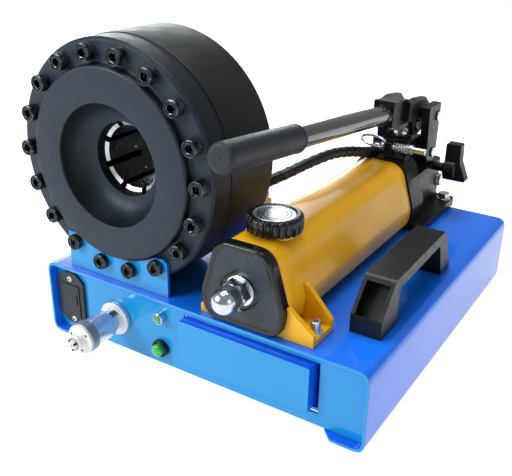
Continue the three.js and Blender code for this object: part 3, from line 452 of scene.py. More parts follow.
def keep(node, material, bevel=0.5, segments=2):
    """Shows the frame's own solid, with softened edges and a real finish."""
    obj = NODES[node]
    obj.data.materials.clear()
    obj.data.materials.append(material)
    obj.modifiers.new("weld", "NODES").node_group = SMOOTHING
    planar = obj.modifiers.new("flats", "DECIMATE")
    planar.decimate_type = "DISSOLVE"
    planar.angle_limit = math.radians(0.8)
    if bevel:
        soft = obj.modifiers.new("soft edges", "BEVEL")
        soft.width = bevel * MM
        soft.segments = segments
        soft.limit_method = "ANGLE"
        soft.angle_limit = math.radians(30)
        soft.use_clamp_overlap = True
    obj.modifiers.new("flat shading", "WEIGHTED_NORMAL").keep_sharp = True


# ---------------------------------------------------------------- die head

DEEP = -BRACKET_SHEET


def bolt_mesh(height):
    """A knurled socket-head screw, its seat at distance 0 and its head towards -Y."""
    mesh = bmesh.new()
    radius = BOLTS["head"]
    key = BOLTS["key"] / math.sqrt(3)
    knurl_start, knurl_end = -1.2, 1.6 - height

    def shape(reach, angle, distance):
        if reach <= key + 0.01:
            return hexagonal(key)(reach, angle, distance)
        ridged = reach > radius - 0.3 and knurl_end <= distance <= knurl_start
        return reach - (0.28 if ridged and round(angle * 96 / TURN) % 2 else 0)

    outside = [
        (0, -1 - height / 3), (key, -1 - height / 3), (key, 0.5 - height), (key + 0.6, -height), (radius - 0.9, -height),
        (radius - 0.25, 0.35 - height), (radius, 1 - height), (radius, knurl_end), (radius, knurl_start), (radius, -0.5),
        (radius - 0.4, 0), (0, 0),
    ]
    spin(mesh, outside, segments=96, shape=shape)
    return mesh


def add_bolts():
    for i in range(BOLTS["count"]):
        angle = math.radians(BOLTS["first"] - i * 360 / BOLTS["count"])
        x, z = BOLTS["circle"] * math.cos(angle), BOLTS["circle"] * math.sin(angle)
        low_head = HEAD_CENTRE.z + z < BRACKET_TOP - BOLTS["head"]
        seat = COVER["face"] - (BRACKET_SHEET + 0.9 if low_head else 0.3)
        mesh = bolt_mesh(BOLTS["low_height"] if low_head else BOLTS["height"])
        place = HEAD @ Matrix.Translation((x, seat, z)) @ Matrix.Rotation(math.radians(17 * i), 4, "Y")
        node = f"cover_bolt_{i + 1:02d}"
        piece(f"screw_{i + 1:02d}", mesh, place, "frame", [OXIDE], [node], 28)


def add_cover():
    face, disc_face, chamfer = COVER["face"], COVER["disc_face"], COVER["chamfer"]
    flange, disc = COVER["flange"], COVER["disc"]
    start = Vector((FUNNEL["mouth"], disc_face))
    wall = Vector((FUNNEL["wall"][0], disc_face + FUNNEL["wall"][1]))
    throat = Vector((FUNNEL["throat"][0], disc_face + FUNNEL["throat"][1]))
    funnel = []
    for k in range(1, FUNNEL["steps"] + 1):
        t = k / FUNNEL["steps"]
        funnel.append(tuple(start * (1 - t) ** 2 + wall * (2 * t * (1 - t)) + throat * t ** 2))
    profile = rounded([
        (throat.x, COVER["back"]), (flange, COVER["back"], 0.8), (flange, face + chamfer, 1.4),
        (flange - chamfer, face, 1.4), (disc, face, 2.6), (disc, disc_face, 3.4), (start.x, start.y, 2.6), *funnel,
    ])
    mesh = bmesh.new()
    ring(mesh, profile, segments=160)
    piece("flange_cover", mesh, HEAD, "frame", [HEAD_PAINT], ["front_cover"])


def add_barrel():
    bore, radius, front, rear = (BARREL[k] for k in ("bore", "radius", "front", "rear"))
    chamfer = BARREL["chamfer"]
    mesh = bmesh.new()
    ring(mesh, rounded([
        (bore, front), (radius, front, 1), (radius, rear - chamfer, 1.5), (radius - chamfer, rear, 1.5), (bore, rear),
    ]), segments=160)
    piece("barrel", mesh, HEAD, "frame", [BARREL_PAINT], ["head_barrel"])

    bore, hub = REAR_COVER["bore"], REAR_COVER["hub"]
    rim = BARREL["bore"] - 0.4
    mesh = bmesh.new()
    ring(mesh, rounded([
        (bore, REAR_COVER["front"]), (rim, REAR_COVER["front"]), (rim, REAR_COVER["rear"], 1.2),
        (hub, REAR_COVER["rear"], 2), (hub, REAR_COVER["hub_rear"], 2), (bore + 3, REAR_COVER["hub_rear"], 0.8),
        (bore, REAR_COVER["hub_rear"] + 3, 0.8),
    ], closed=True), segments=128)
    for i in range(6):
        angle = i * TURN / 6 + 0.3
        x, z = 82 * math.cos(angle), 82 * math.sin(angle)
        ring(mesh, rounded([(3, REAR_COVER["rear"] + 0.2), (5.2, REAR_COVER["rear"] + 0.2),
                            (5.2, REAR_COVER["rear"] + 1.4, 0.5), (3, REAR_COVER["rear"] + 1.4)]),
             segments=24, centre=(x, z))
    piece("rear_plate", mesh, HEAD, "frame", [BARREL_PAINT], ["rear_cover"])


def add_dies():
    """Each die is a wedge with flat sides, a bright chamfer, a spring button and a pin in its bore."""
    half_turn = math.pi / DIE["count"]
    bore, front, rear, step = DIE["bore"], DIE["front"], DIE["rear"], DIE["step"]
    chamfer = DIE["chamfer"]
    steps = 14

    def slope(y):
        return CONE["apothem"] - (y - CONE["front"]) * CONE["slope"] - CONE["gap"]

    profile = [(bore, rear, False), (bore, front + step, False), (bore + chamfer, front, False),
               (60, front, False), (slope(front), front, True), (slope(rear), rear, True)]
    for i in range(DIE["count"]):
        mesh = bmesh.new()
        rows = []
        for radius, y, flat in profile:
            half = half_turn - math.asin(DIE["side_gap"] / radius)
            row = []
            for k in range(steps + 1):
                angle = half * (2 * k / steps - 1)
                reach = radius / math.cos(angle) if flat else radius
                row.append(mesh.verts.new((reach * math.cos(angle), y, reach * math.sin(angle))))
            rows.append(row)
        count = len(rows)
        for r in range(count):
            one, two = rows[r], rows[(r + 1) % count]
            for k in range(steps):
                face = mesh.faces.new((one[k], one[k + 1], two[k + 1], two[k]))
                face.material_index = 1 if r == 1 else 0
        mesh.faces.new([row[0] for row in rows])
        mesh.faces.new([row[-1] for row in reversed(rows)])
        inner = bore * math.cos(half_turn) - 0.4
        button_y = (front + rear) / 2 - 8
        spin(mesh, rounded([(0, inner + 3.4), (3.6, inner + 3.4), (3.6, inner + 2.6, 0.5), (0, inner + 2.2)]),
             axis="x", segments=24, centre=(button_y, 0))
        spin(mesh, rounded([(0, inner + 3), (1.5, inner + 3), (1.5, inner + 1.2, 0.6), (0, inner + 1)]),
             axis="x", segments=16, centre=(button_y + 22, 5), material=1)
        ring(mesh, [(3.9, inner + 3.4), (5.4, inner + 3.4), (5.2, inner + 2.2), (4.1, inner + 2.2)],
             axis="x", segments=24, centre=(button_y, 0))
        place = HEAD @ Matrix.Rotation(-i * 2 * half_turn, 4, "Y")
        piece(f"die_{i + 1}_body", mesh, place, f"die_{i + 1}", [DIE_STEEL, BARE_STEEL], [f"master_die_{i + 1}"],
              20)


# ---------------------------------------------------------------- panel controls


def add_dial():
    spindle, reach = DIAL["spindle"], DIAL["reach"]
    bore = spindle + 0.4
    hub, hub_end, sleeve = DIAL["hub"], DIAL["hub_end"], DIAL["sleeve"]
    place = PANEL @ Matrix.Translation((DIAL["x"], 0, DIAL["z"]))
    face = DIAL["flange_face"]
    mesh = bmesh.new()
    ring(mesh, rounded([
        (bore, 14), (6.6, 14), (6.6, -0.3), (DIAL["flange"], -0.3, 0.5), (DIAL["flange"], face, 0.9),
        (hub, face, 0.6), (hub, hub_end), (bore, hub_end),
    ]), segments=96)
    for k in range(8):
        at = face - 1.6 - k * 1.3
        reach_round = 0.42 if k % 2 else 0.75
        for i in range(6):
            angle = 1.15 + reach_round * (i - 2.5) / 6
            x, z = (hub - 0.1) * math.cos(angle), (hub - 0.1) * math.sin(angle)
            spin(mesh, [(0, at - 0.22), (0.75, at - 0.22), (0.75, at + 0.22), (0, at + 0.22)], segments=10,
                 centre=(x, z), material=1)
    mount = piece("dial_sleeve", mesh, place, "frame", [DIAL_METAL, MARK_INK_AND_HOLLOW_SHADE, DIAL_FACE], ["dial_mount"])
    for polygon in mount.data.polygons:
        if polygon.material_index == 0 and polygon.normal.y < -0.7:
            polygon.material_index = 2

    band, band_start, disc, disc_face = (DIAL[k] for k in ("band", "band_start", "disc", "disc_face"))
    boss, boss_face, start = DIAL["boss"], DIAL["boss_face"], DIAL["sleeve_start"]
    fit = hub + 0.4
    mesh = bmesh.new()
    grooves = []
    for k in range(7):
        at = band_start - 1.2 - k * 1.15
        grooves += [(band, at), (band, at - 0.6), (band - 0.4, at - 0.75), (band - 0.4, at - 1.0)]
    ring(mesh, [
        *rounded([(fit, start), (sleeve - 0.2, start, 0.3), (sleeve, start - 1, 0.4), (sleeve, band_start)]),
        (band - 0.5, band_start - 0.1), (band, band_start - 0.7), *grooves, (band, disc_face + 3.4),
        (disc - 0.3, disc_face + 2.9),
        *rounded([(disc - 0.3, disc_face + 2.5), (disc, disc_face + 2.2), (disc, disc_face, 0.9),
                  (boss, disc_face, 0.7), (boss, boss_face, 1.4), (5.8, boss_face, 0.4), (5.8, boss_face + 1.2),
                  (bore, boss_face + 1.2)]),
        (bore, hub_end - 0.3), (fit, hub_end - 0.3),
    ], segments=96)
    # painted shade: three small dark discs on the disc face stand in for holes
    for k in range(3):
        angle = math.radians(40 + 120 * k)
        spin(mesh, [(0, disc_face + 0.3), (1.3, disc_face + 0.3), (1.3, disc_face - 0.12), (0, disc_face - 0.12)],
             segments=14, centre=(11.8 * math.cos(angle), 11.8 * math.sin(angle)), material=1)
    thimble = piece("dial_thimble_body", mesh, place, "thimble", [DIAL_METAL, MARK_INK_AND_HOLLOW_SHADE, KNURLED, DIAL_FACE],
                    ["dial_thimble"])
    for polygon in thimble.data.polygons:
        if polygon.material_index == 1:
            continue
        centre = polygon.center / MM - place.translation
        if disc_face + 3 < centre.y < band_start:
            polygon.material_index = 2
        elif centre.y < disc_face + 3:
            polygon.material_index = 3

    mesh = bmesh.new()
    spin(mesh, rounded([
        (0, 24), (spindle, 24, 0.4), (spindle, boss_face - 0.3), (5.4, boss_face - 0.3, 0.3),
        (5.4, boss_face - 3.8, 0.7), (2.6, boss_face - 4.4, 0.3), (2.6, 0.8 - reach, 0.4), (0, 0.2 - reach),
    ]), segments=48)
    # painted shade: four dark pins breaking through the boss front stand in for holes in it
    for k in range(4):
        angle = math.radians(25 + 90 * k)
        x, z = 5.0 * math.cos(angle), 5.0 * math.sin(angle)
        spin(mesh, [(0, boss_face - 1), (1.2, boss_face - 1), (1.2, boss_face - 4.3), (0, boss_face - 4.3)],
             segments=12, centre=(x, z), material=1)
    piece("dial_screw", mesh, place, "spindle", [DIAL_FACE, MARK_INK_AND_HOLLOW_SHADE], ["dial_spindle"])


def add_lamp_and_button():
    place = PANEL @ Matrix.Translation((LAMP["x"], 0, LAMP["z"]))
    mesh = bmesh.new()
    ring(mesh, rounded([
        (3.4, 9), (4.8, 9), (4.8, -0.3), (6, -0.3, 0.3), (6, -7.6, 0.9), (4.9, -8.2, 0.3), (4.5, -7), (3.4, -5),
    ]), segments=48)
    piece("lamp_bezel", mesh, place, "frame", [CHROME], ["indicator_lamp"])
    mesh = bmesh.new()
    dome = [(4.3 * math.cos(a), -7 - 2.3 * math.sin(a)) for a in (k * math.pi / 16 for k in range(9))]
    spin(mesh, [(0, -4), (3.2, -4), (4.3, -6.6), *dome], segments=40)
    piece("lamp_lens", mesh, place, "frame", [GREEN_LENS])

    place = PANEL @ Matrix.Translation((BUTTON["x"], 0, BUTTON["z"]))
    mesh = bmesh.new()
    ring(mesh, rounded([
        (7, 8), (7.7, 8), (7.7, -0.3), (9.5, -0.3, 0.3), (9.5, -5.2, 1.0), (7.6, -5.2, 0.4), (7, -4.2),
    ]), segments=56)
    piece("button_collar", mesh, place, "frame", [PLASTIC], ["button_bezel"])
    mesh = bmesh.new()
    dome = [(6.6 * math.cos(a), -8.2 - 3.4 * math.sin(a)) for a in (k * math.pi / 20 for k in range(11))]
    spin(mesh, [(0, 8), (6.6, 8), *dome], segments=56)
    piece("button_cap", mesh, place, "button", [GREEN], ["push_button"])


def cross_screw(mesh, axis, centre, seat, out, radius=3.4, rise=1.5, material=0, slot_material=1):
    """A low domed screw standing out of its seat, its crossed recess drawn as a thin raised cross in the slot material,
    dark as painted shade.
    """
    dome = [(radius * math.cos(a), seat + out * rise * math.sin(a)) for a in (k * math.pi / 12 for k in range(7))]
    spin(mesh, [(0, seat - out * 0.2), (radius, seat - out * 0.2), *dome], axis=axis, segments=32, centre=centre,
         material=material)
    top = seat + out * (rise + 0.03)
    # painted shade: the cross is a thin raised block in the dark slot material, standing in for the shade inside a
    # recess
    for wide, tall in ((radius * 0.55, radius * 0.13), (radius * 0.13, radius * 0.55)):
        corners = [(-wide, -tall), (wide, -tall), (wide, tall), (-wide, tall)]
        loops = [[along(axis, centre[0] + a, centre[1] + b, level) for a, b in corners]
                 for level in (seat + out * rise * 0.4, top)]
        skin(mesh, loops, material=slot_material)


def add_battery_details():
    mesh = bmesh.new()
    face = -3.4
    for x, z in ((-165.8, 66), (-163.8, 17.4)):
        cross_screw(mesh, "y", (x, z), face, -1, radius=3.1, rise=1.1)
    piece("battery_screws", mesh, PANEL, "frame", [WHITE_SCREW, MARK_INK_AND_HOLLOW_SHADE])


# ---------------------------------------------------------------- oil tank


def tank_outline(grow=0.0, shift=0.0, steps=9):
    lower, middle_, upper = (TANK_HALF[k] + grow for k in ("bottom", "waist", "top"))
    bottom, waist, top = TANK["bottom"] - grow, TANK["waist"], TANK["top"] + grow
    corners = [(-lower, bottom, 17), (lower, bottom, 17), (middle_, waist, 24), (upper, top, 20),
               (-upper, top, 20), (-middle_, waist, 24)]
    return [(a + shift, b) for a, b in rounded(corners, closed=True, steps=steps)]


def add_tank():
    front, rear = TANK["front"], TANK["rear"]
    mesh = bmesh.new()
    outline = tank_outline()
    edge = [(0.0, 1.6), (0.5, 0.6), (1.6, 0.0)]
    stations = [(front + d, inset) for d, inset in edge]
    stations += [(front + (rear - front) * k / 24, 0) for k in range(1, 24)]
    stations += [(rear - d, inset) for d, inset in reversed(edge)]
    loft(mesh, outline, stations)
    spin(mesh, rounded([(14, TANK["top"] - 2), (19.5, TANK["top"] - 2), (18.5, TANK["top"] + 1.2, 1),
                        (18.5, 84.1, 0.6), (14, 84.1)]), axis="z", segments=64, centre=(FILLER["x"], FILLER["y"]))
    piece("tank_shell", mesh, PUMP, "frame", [YELLOW], ["oil_tank"], 40)


def outline_from(hub, outline, count):
    """The outline's points at evenly spaced directions from the hub."""
    line = []
    for i in range(count):
        angle = i * TURN / count
        out = Vector((math.cos(angle), math.sin(angle)))
        for one, two in zip(outline, outline[1:] + outline[:1]):
            a, b = Vector(one) - hub, Vector(two) - hub
            side_a, side_b = out.cross(a), out.cross(b)
            if side_a * side_b <= 0 and side_a != side_b:
                hit = a + (b - a) * (side_a / (side_a - side_b))
                if hit.dot(out) > 0:
                    line.append(hit)
                    break
    return line


def add_end_cap():
    """A pebbled face inside a smooth raised rim, with a rounded hollow for the nut."""
    front, rear, edge, recess = END_CAP["front"], END_CAP["rear"], END_CAP["round"], END_CAP["recess"]
    hub = Vector((TIE["x"], TIE["z"]))
    reaches = outline_from(hub, tank_outline(END_CAP["grow"], END_CAP["shift"]), 180)
    arc = [(front + edge - edge * math.sin(a), edge - edge * math.cos(a)) for a in
           (k * math.pi / 12 for k in range(7))]
    rim = [(front, 5.4), (front + 0.35, 6.0), (front + 0.6, 7.0), (front + 0.6, 10)]
    mesh = bmesh.new()
    rings = []
    for distance, inset in [(rear, 0.8), (rear - 0.8, 0), *arc, *rim]:
        loop = []
        for i, reach in enumerate(reaches):
            ahead = reaches[(i + 1) % len(reaches)] - reaches[i - 1]
            inward = Vector((-ahead.y, ahead.x)).normalized() * inset
            loop.append((hub.x + reach.x + inward.x, distance, hub.y + reach.y + inward.y))
        rings.append(loop)
    for radius, distance in ((recess + 2.6, front + 0.6), (recess + 1.2, front + 0.9), (recess, front + 1.7),
                             (recess - 1, front + END_CAP["depth"]), (6, front + END_CAP["depth"])):
        loop = []
        for i in range(len(reaches)):
            angle = i * TURN / len(reaches)
            squared = radius * (1 + 0.06 * math.cos(4 * angle + 0.5)) if radius > recess - 2 else radius
            loop.append((hub.x + squared * math.cos(angle), distance, hub.y + squared * math.sin(angle)))
        rings.append(loop)
    skin(mesh, rings)
    cap = piece("tank_cap", mesh, PUMP, "frame", [CAP_PLASTIC, TEXTURED], ["tank_end_cap"], 40)
    for polygon in cap.data.polygons:
        centre = polygon.center / MM - PUMP.translation
        if polygon.normal.y < -0.9 and front + 0.4 < centre.y < front + 1.2:
            polygon.material_index = 1


def add_tie_nut():
    seat, corner, dome, washer = TIE["seat"], TIE["hexagon"], TIE["dome"], TIE["washer"]
    place = PUMP @ Matrix.Translation((TIE["x"], 0, TIE["z"])) @ Matrix.Rotation(math.radians(6), 4, "Y")
    mesh = bmesh.new()
    spin(mesh, rounded([(0, seat + 0.2), (washer, seat + 0.2), (washer, seat - 1.3, 0.5), (0, seat - 1.3)]),
         segments=64)
    near, far = seat - 1.3, seat - 13.6
    spin(mesh, [(0, near), (corner, near), (corner, near - 0.8), (corner, near - 1.8), (corner, far + 2.8),
                (corner, far + 1.4), (corner, far + 0.6), (corner, far), (0, far)], segments=72,
         shape=hexagonal(corner, 0.75, near, far))
    tip = seat - 36.4
    curve = [(dome * math.cos(a), tip + dome - dome * math.sin(a)) for a in (k * math.pi / 24 for k in range(13))]
    spin(mesh, [(0, far + 1), (dome - 0.7, far + 1), (dome - 0.7, far - 0.5), (dome, far - 1.2), *curve],
         segments=64)
    spin(mesh, [(0, seat), (5, seat), (5, TANK["rear"] - 4), (0, TANK["rear"] - 4)], segments=24)
    piece("dome_nut", mesh, place, "frame", [CHROME], ["tie_rod"], 30)


def add_filler():
    bottom, top, radius, plate = (FILLER[k] for k in ("bottom", "top", "radius", "plate"))
    count = FILLER["scallops"]
    place = PUMP @ Matrix.Translation((FILLER["x"], FILLER["y"], 0))

    def scallop(reach, angle, distance):
        if reach < radius - 2.2:
            return reach
        dip = max(0.0, math.sin(angle * count)) ** 0.7
        return reach - 1.7 * dip

    mesh = bmesh.new()
    spin(mesh, [(0, bottom + 3.8), (19.2, bottom + 3.8), (19.2, bottom), (radius - 0.5, bottom), (radius, bottom + 0.8),
                (radius, top - 3.4), (radius - 0.4, top - 2.2), (radius - 1.3, top - 1.3), (radius - 2.4, top - 0.6),
                (plate + 1.6, top - 0.15), (plate + 0.6, top - 0.3), (plate + 0.1, top - 1.4), (0, top - 1.4)],
         axis="z", segments=count * 12, shape=scallop)
    piece("filler_knob", mesh, place, "cap", [CAP_PLASTIC], ["filler_cap"], 50)
    mesh = bmesh.new()
    level = top - 1.3
    line = [(0, level)]
    for groove in (11.8, 15.2):
        line += [(groove - 0.7, level), (groove - 0.25, level - 0.45), (groove + 0.25, level - 0.45),
                 (groove + 0.7, level)]
    line += [(plate - 1.4, level), (plate - 0.5, level + 0.9), (plate, level + 0.6), (plate, level - 0.3),
             (0, level - 0.3)]
    spin(mesh, line, axis="z", segments=96)
    piece("filler_plate", mesh, place, "cap", [ZINC])


def hex_bolt(mesh, axis, centre, seat, out, corner, height, washer=None):
    if washer:
        spin(mesh, rounded([(0, seat), (washer, seat), (washer, seat + out * 1.5, 0.4), (0, seat + out * 1.5)]),
             axis=axis, segments=40, centre=centre)
        seat += out * 1.5
    far = seat + out * height
    spin(mesh, [(0, seat), (corner, seat), (corner, far - out * 1.4), (corner, far - out * 0.5), (corner, far), (0, far)],
         axis=axis, segments=72, centre=centre, shape=hexagonal(corner, 0.8, seat - out * 3, far))


def add_pump_fasteners():
    mesh = bmesh.new()
    for x in (-48, 48):
        hex_bolt(mesh, "z", (x, 198), 10, 1, 7.2, 6.4, 8.6)
    spin(mesh, rounded([(0, 6.5), (7.2, 6.5), (7.2, 7.8, 0.4), (4.7, 7.8), (4.7, 18.4, 0.8), (2.6, 18.4), (2.6, 14),
                        (0, 14)]), axis="z", segments=48, centre=(63, -175))
    piece("base_bolts", mesh, PUMP, "frame", [ZINC])
    mesh = bmesh.new()
    hex_bolt(mesh, "x", (203, 32), 35.5, 1, 7.6, 3.2, 8.6)
    piece("side_plug", mesh, PUMP, "frame", [ZINC])


# ---------------------------------------------------------------- lever, linkage and lock


def lever_place():
    turn = Matrix.Rotation(-math.radians(LEVER["slope"]), 4, "X")
    return PUMP @ Matrix.Translation((0, LEVER["y"], LEVER["z"])) @ turn


def add_lever():
    place = lever_place()
    radius, front, rear = LEVER["tube"], LEVER["front"], LEVER["rear"]
    mesh = bmesh.new()
    spin(mesh, [(0, -front), (radius, -front), (radius, -front + 120), (radius, -60), (radius, -rear), (0, -rear)],
         segments=64)
    piece("lever_tube", mesh, place, "handle", [BLACK_TUBE], ["handle_tube"])

    grip, end = LEVER["grip"], LEVER["grip_end"]
    back = -end + GRIP_LENGTH
    mesh = bmesh.new()
    ring(mesh, rounded([
        (0.5, -end + 0.6), (grip - 4, -end + 0.4, 2), (grip - 0.6, -end + 1.6, 2), (grip, -end + 5, 3), (grip, back - 6, 2),
        (grip + 0.5, back - 3.4, 1.2), (grip - 0.4, back, 1.2), (radius + 0.3, back, 0.3), (radius + 0.3, -front - 0.4),
        (0.5, -front - 0.4),
    ], closed=True), segments=72)
    piece("lever_grip", mesh, place, "handle", [GRIP_RUBBER], ["handle_grip"], 45)

    # the wrap's torn front edge wanders along the tube
    mesh = bmesh.new()
    count = 90
    rings = [[] for _ in range(6)]
    for i in range(count):
        angle = i * TURN / count
        ragged = 3.2 * math.sin(angle * 5 + 1) + 2.2 * math.sin(angle * 11) + 1.6 * math.sin(angle * 23 + 2)
        lift = 0.9 + 0.45 * math.sin(angle * 9) + 0.3 * math.sin(angle * 17 + 1)
        lines = ((-35.5 + ragged, 0.15), (-34.8 + ragged, lift + 0.5), (-32 + ragged * 0.5, lift + 0.2),
                 (-29.6, 1.1 + lift * 0.4), (-27.9, 1.2), (-27.4, 0.12))
        for loop, (distance, proud) in zip(rings, lines):
            reach = radius + proud
            loop.append((reach * math.cos(angle), distance, reach * math.sin(angle)))
    skin(mesh, rings)
    piece("lever_wrap", mesh, place, "handle", [TORN_TAPE], sharp=60)


def add_link_pins():
    """The bright ends of the pins pressed through the side plates and the plunger's eye."""
    mesh = bmesh.new()
    for y, z in ((175, 76), (182, 120)):
        for side in (-1, 1):
            spin(mesh, rounded([(0, side * 34), (6.1, side * 34), (6.1, side * 35.2, 0.6), (0, side * 35.2)]), axis="x",
                 segments=40, centre=(y, z))
    piece("link_pin_ends", mesh, PUMP, "link", [STEEL])


def add_lock():
    axis_place = PUMP @ Matrix.Translation((0, LOCK["y"], LOCK["z"]))
    start, end, turns, radius = 8.8, 29.0, 6, 4.9
    steps = 20 * turns
    route = []
    for i in range(steps + 1):
        angle = i * TURN / 20
        route.append((start + (end - start) * i / steps, radius * math.cos(angle), radius * math.sin(angle)))
    mesh = bmesh.new()
    tube(mesh, route, 0.65, sides=8)
    spring = piece("lock_spring", mesh, axis_place, "frame", [STEEL], sharp=50)
    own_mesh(spring)

    mesh = bmesh.new()
    size, wire = LOCK["ring"], LOCK["wire"]
    tilt = Matrix.Rotation(math.radians(12), 4, "Y")
    loops = []
    for i in range(72):
        angle = i * TURN / 72
        out = Vector((math.cos(angle), math.sin(angle), 0))
        loop = []
        for k in range(12):
            turn = k * TURN / 12
            point = out * (size + wire * math.cos(turn)) + Vector((-size, 0, wire * math.sin(turn)))
            loop.append(tilt @ point + Vector((LOCK["left"] + 4, 0, 0)))
        loops.append(loop)
    skin(mesh, loops, loop=True)
    piece("lock_ring", mesh, axis_place, "lock", [ZINC], sharp=50)


# ---------------------------------------------------------------- hose

HOSE_ROUTE = [
    (-5.57, -60, 160.28), (-5.57, -60, 166.28), (1, -55, 172), (12, -42, 178), (24, -12, 184.5), (32, 24, 186),
    (39, 58, 181), (43.5, 82, 175), (44, 95, 171.9), (44, 108, 169), (44, 114, 169),
]


def through(points, steps):
    """A centripetal Catmull-Rom curve through the points."""
    given = [Vector(p) for p in points]
    padded = [given[0] * 2 - given[1], *given, given[-1] * 2 - given[-2]]
    line = []
    for a, b, c, d in zip(padded, padded[1:], padded[2:], padded[3:]):
        t0, t1 = 0.0, (b - a).length ** 0.5
        t2 = t1 + (c - b).length ** 0.5
        t3 = t2 + (d - c).length ** 0.5
        for k in range(steps):
            t = t1 + (t2 - t1) * k / steps
            ab = a * ((t1 - t) / (t1 - t0)) + b * ((t - t0) / (t1 - t0))
            bc = b * ((t2 - t) / (t2 - t1)) + c * ((t - t1) / (t2 - t1))
            cd = c * ((t3 - t) / (t3 - t2)) + d * ((t - t2) / (t3 - t2))
            abc = ab * ((t2 - t) / (t2 - t0)) + bc * ((t - t0) / (t2 - t0))
            bcd = bc * ((t3 - t) / (t3 - t1)) + cd * ((t - t1) / (t3 - t1))
            line.append(abc * ((t2 - t) / (t2 - t1)) + bcd * ((t - t1) / (t2 - t1)))
    return [*line, given[-1]]


def add_hose():
    pitch = 11.5

    def guard(radius, travelled, angle):
        wave = (travelled / pitch - angle / TURN) % 1
        return radius - 0.5 + 0.35 * wave + 0.55 * math.exp(-((wave - 0.93) / 0.06) ** 2)

    mesh = bmesh.new()
    tube(mesh, through(HOSE_ROUTE, 34), HOSE_RADIUS, sides=28, swell=guard)
    piece("hose", mesh, FLOOR, "frame", [HOSE_RUBBER], ["hydraulic_hose"], 60)

    x, y, z = HOSE_ROUTE[-1]
    mesh = bmesh.new()
    at = (x, z)
    spin(mesh, rounded([(0, y + 0.3), (6.2, y + 0.3), (7, y + 1.2, 0.5), (7, y + 4), (6.5, y + 4.6), (6.5, y + 5.4),
                        (7, y + 6), (7, y + 7.8, 0.4), (0, y + 7.8)]), segments=56, centre=at)
    near, far = y + 7.4, y + 15.4
    spin(mesh, [(0, near), (8, near), (8, near + 1), (8, far - 1), (8, far), (0, far)], segments=72, centre=at,
         shape=hexagonal(8, 0.8, near, far))
    spin(mesh, [(0, far), (5, far), (5, y + 21), (0, y + 21)], segments=32, centre=at)
    piece("hose_end_pump", mesh, FLOOR, "frame", [ZINC], ["hose_fitting_pump"])

    x, y, z = HOSE_ROUTE[0]
    mesh = bmesh.new()
    spin(mesh, rounded([(0, z - 9), (7, z - 9), (7, z - 0.3, 0.8), (0, z - 0.3)]), axis="z", segments=48, centre=(x, y))
    elbow = z - 16
    loft(mesh, rounded([(x - 7.5, elbow - 7.5, 2), (x + 7.5, elbow - 7.5, 2), (x + 7.5, elbow + 8, 2),
                        (x - 7.5, elbow + 8, 2)], closed=True), [(y - 8, 1), (y - 7, 0), (y + 6.5, 0), (y + 7.5, 1)])
    at = (x, elbow)
    near, far = y - 12.4, y - 24.4
    spin(mesh, [(0, near), (8, near), (8, near - 1.2), (8, far + 1.2), (8, far), (0, far)], segments=72, centre=at,
         shape=hexagonal(8, 0.8, near, far))
    spin(mesh, [(0, y - 6), (6, y - 6), (6, y - 34), (0, y - 34)], segments=36, centre=at)
    piece("hose_end_head", mesh, FLOOR, "frame", [ZINC], ["hose_fitting_head"])


# ---------------------------------------------------------------- the object


def keep_frame_solids():
    for node in ("base_shell", "front_panel", "head_bracket"):
        keep(node, BLUE, 0.6)
    keep("die_drawer", BLUE, 0.8, 3)
    keep("tank_foot", YELLOW, 0.8, 3)
    keep("pump_body", BLACK_CAST, 1.0, 3)
    keep("pump_link", BLACK_CAST, 1.2, 3)
    keep("handle_socket", BLACK_CAST, 1.0, 3)
    keep("pump_plunger", STEEL, 0.5)
    keep("lock_pin", STEEL, 0.4)
    keep("dipstick", STEEL, 0.3)
    keep("cone_piston", DIE_STEEL, 0.5)
    keep("battery_holder", CASE_PLASTIC, 0.5)
    keep("battery_tray", CASE_PLASTIC, 0.4)
    keep("carry_handle", PLASTIC, 1.6, 4)
    keep("release_knob", PLASTIC, 1.4, 3)


keep_frame_solids()
add_cover()
add_barrel()
add_bolts()
add_dies()
add_dial()
add_lamp_and_button()
add_battery_details()
add_tank()
add_end_cap()
add_tie_nut()
add_filler()
add_pump_fasteners()
add_lever()
add_link_pins()
add_lock()
add_hose()

# ---------------------------------------------------------------- studio


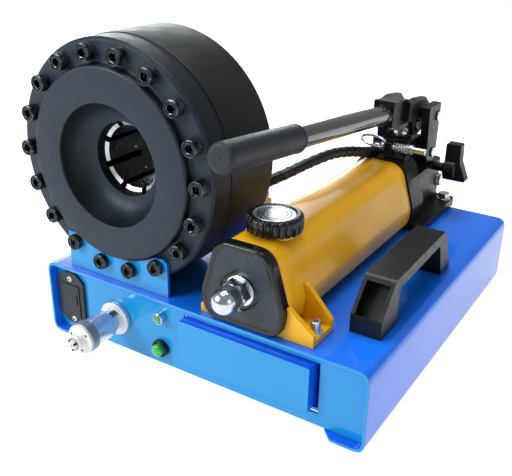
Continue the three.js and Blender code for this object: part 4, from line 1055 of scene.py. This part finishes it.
def add_studio():
    mesh = bmesh.new()
    size = 15.0
    for x, y in ((-size, -size), (size, -size), (size, size), (-size, size)):
        mesh.verts.new((x, y, -0.0004))
    mesh.faces.new(mesh.verts)
    data = bpy.data.meshes.new("floor")
    mesh.to_mesh(data)
    mesh.free()
    floor = bpy.data.objects.new("floor", data)
    bpy.context.scene.collection.objects.link(floor)
    pale = surface("pale floor", (0.35, 0.35, 0.35), 0.7, tint=0.01, patch=400, smudge=0.05, grain=(4, 0.02))
    glow = pale.node_tree.nodes["Principled BSDF"]
    glow.inputs["Emission Color"].default_value = (1, 1, 1, 1)
    glow.inputs["Emission Strength"].default_value = 0.95
    data.materials.append(pale)

    world = bpy.data.worlds.new("studio")
    bpy.context.scene.world = world
    world.use_nodes = True
    background = world.node_tree.nodes["Background"]
    background.inputs["Color"].default_value = (1, 1, 1, 1)
    background.inputs["Strength"].default_value = 0.3

    lights = (
        ("key", (-1.3, -1.7, 1.25), (1.1, 0.9), 44, (0.88, 0.97, 1)),
        ("top", (-0.2, 0.1, 1.9), (1.3, 1.0), 28, (1, 1, 1)),
        ("window behind", (-1.57, 1.81, 0.80), (1.5, 0.8), 26, (0.9, 0.97, 1)),
        ("side", (1.6, -0.5, 0.7), (0.8, 0.8), 3, (0.92, 0.97, 1)),
    )
    target = (CAD_BOX[0] + CAD_BOX[1]) / 2
    for name, place, size_, power, colour in lights:
        lamp = bpy.data.lights.new(name, "AREA")
        lamp.shape = "RECTANGLE"
        lamp.size, lamp.size_y = size_
        lamp.energy = power
        lamp.color = colour
        obj = bpy.data.objects.new(name, lamp)
        bpy.context.scene.collection.objects.link(obj)
        obj.location = place
        obj.rotation_mode = "QUATERNION"
        obj.rotation_quaternion = (target - Vector(place)).to_track_quat("-Z", "Y")


def add_camera():
    azimuth, elevation, roll = (math.radians(a) for a in (32.3748, 24.5988, 0.8182))
    camera = bpy.data.cameras.new("camera")
    camera.sensor_width = 36
    camera.lens = 51.57
    camera.clip_start, camera.clip_end = 0.02, 40
    obj = bpy.data.objects.new("camera", camera)
    bpy.context.scene.collection.objects.link(obj)
    back = Vector((math.sin(azimuth) * math.cos(elevation), -math.cos(azimuth) * math.cos(elevation),
                   math.sin(elevation)))
    level = Vector((math.cos(azimuth), math.sin(azimuth), 0))
    upright = back.cross(level)
    right = level * math.cos(roll) + upright * math.sin(roll)
    up = back.cross(right)
    turn = Matrix((right, up, back)).transposed()
    place = (FLOOR @ Vector((378.0, -676.3, 438.0))) * MM
    obj.matrix_world = Matrix.Translation(place) @ turn.to_4x4()
    bpy.context.scene.camera = obj


add_studio()
add_camera()
bpy.context.scene.view_settings.view_transform = "Standard"
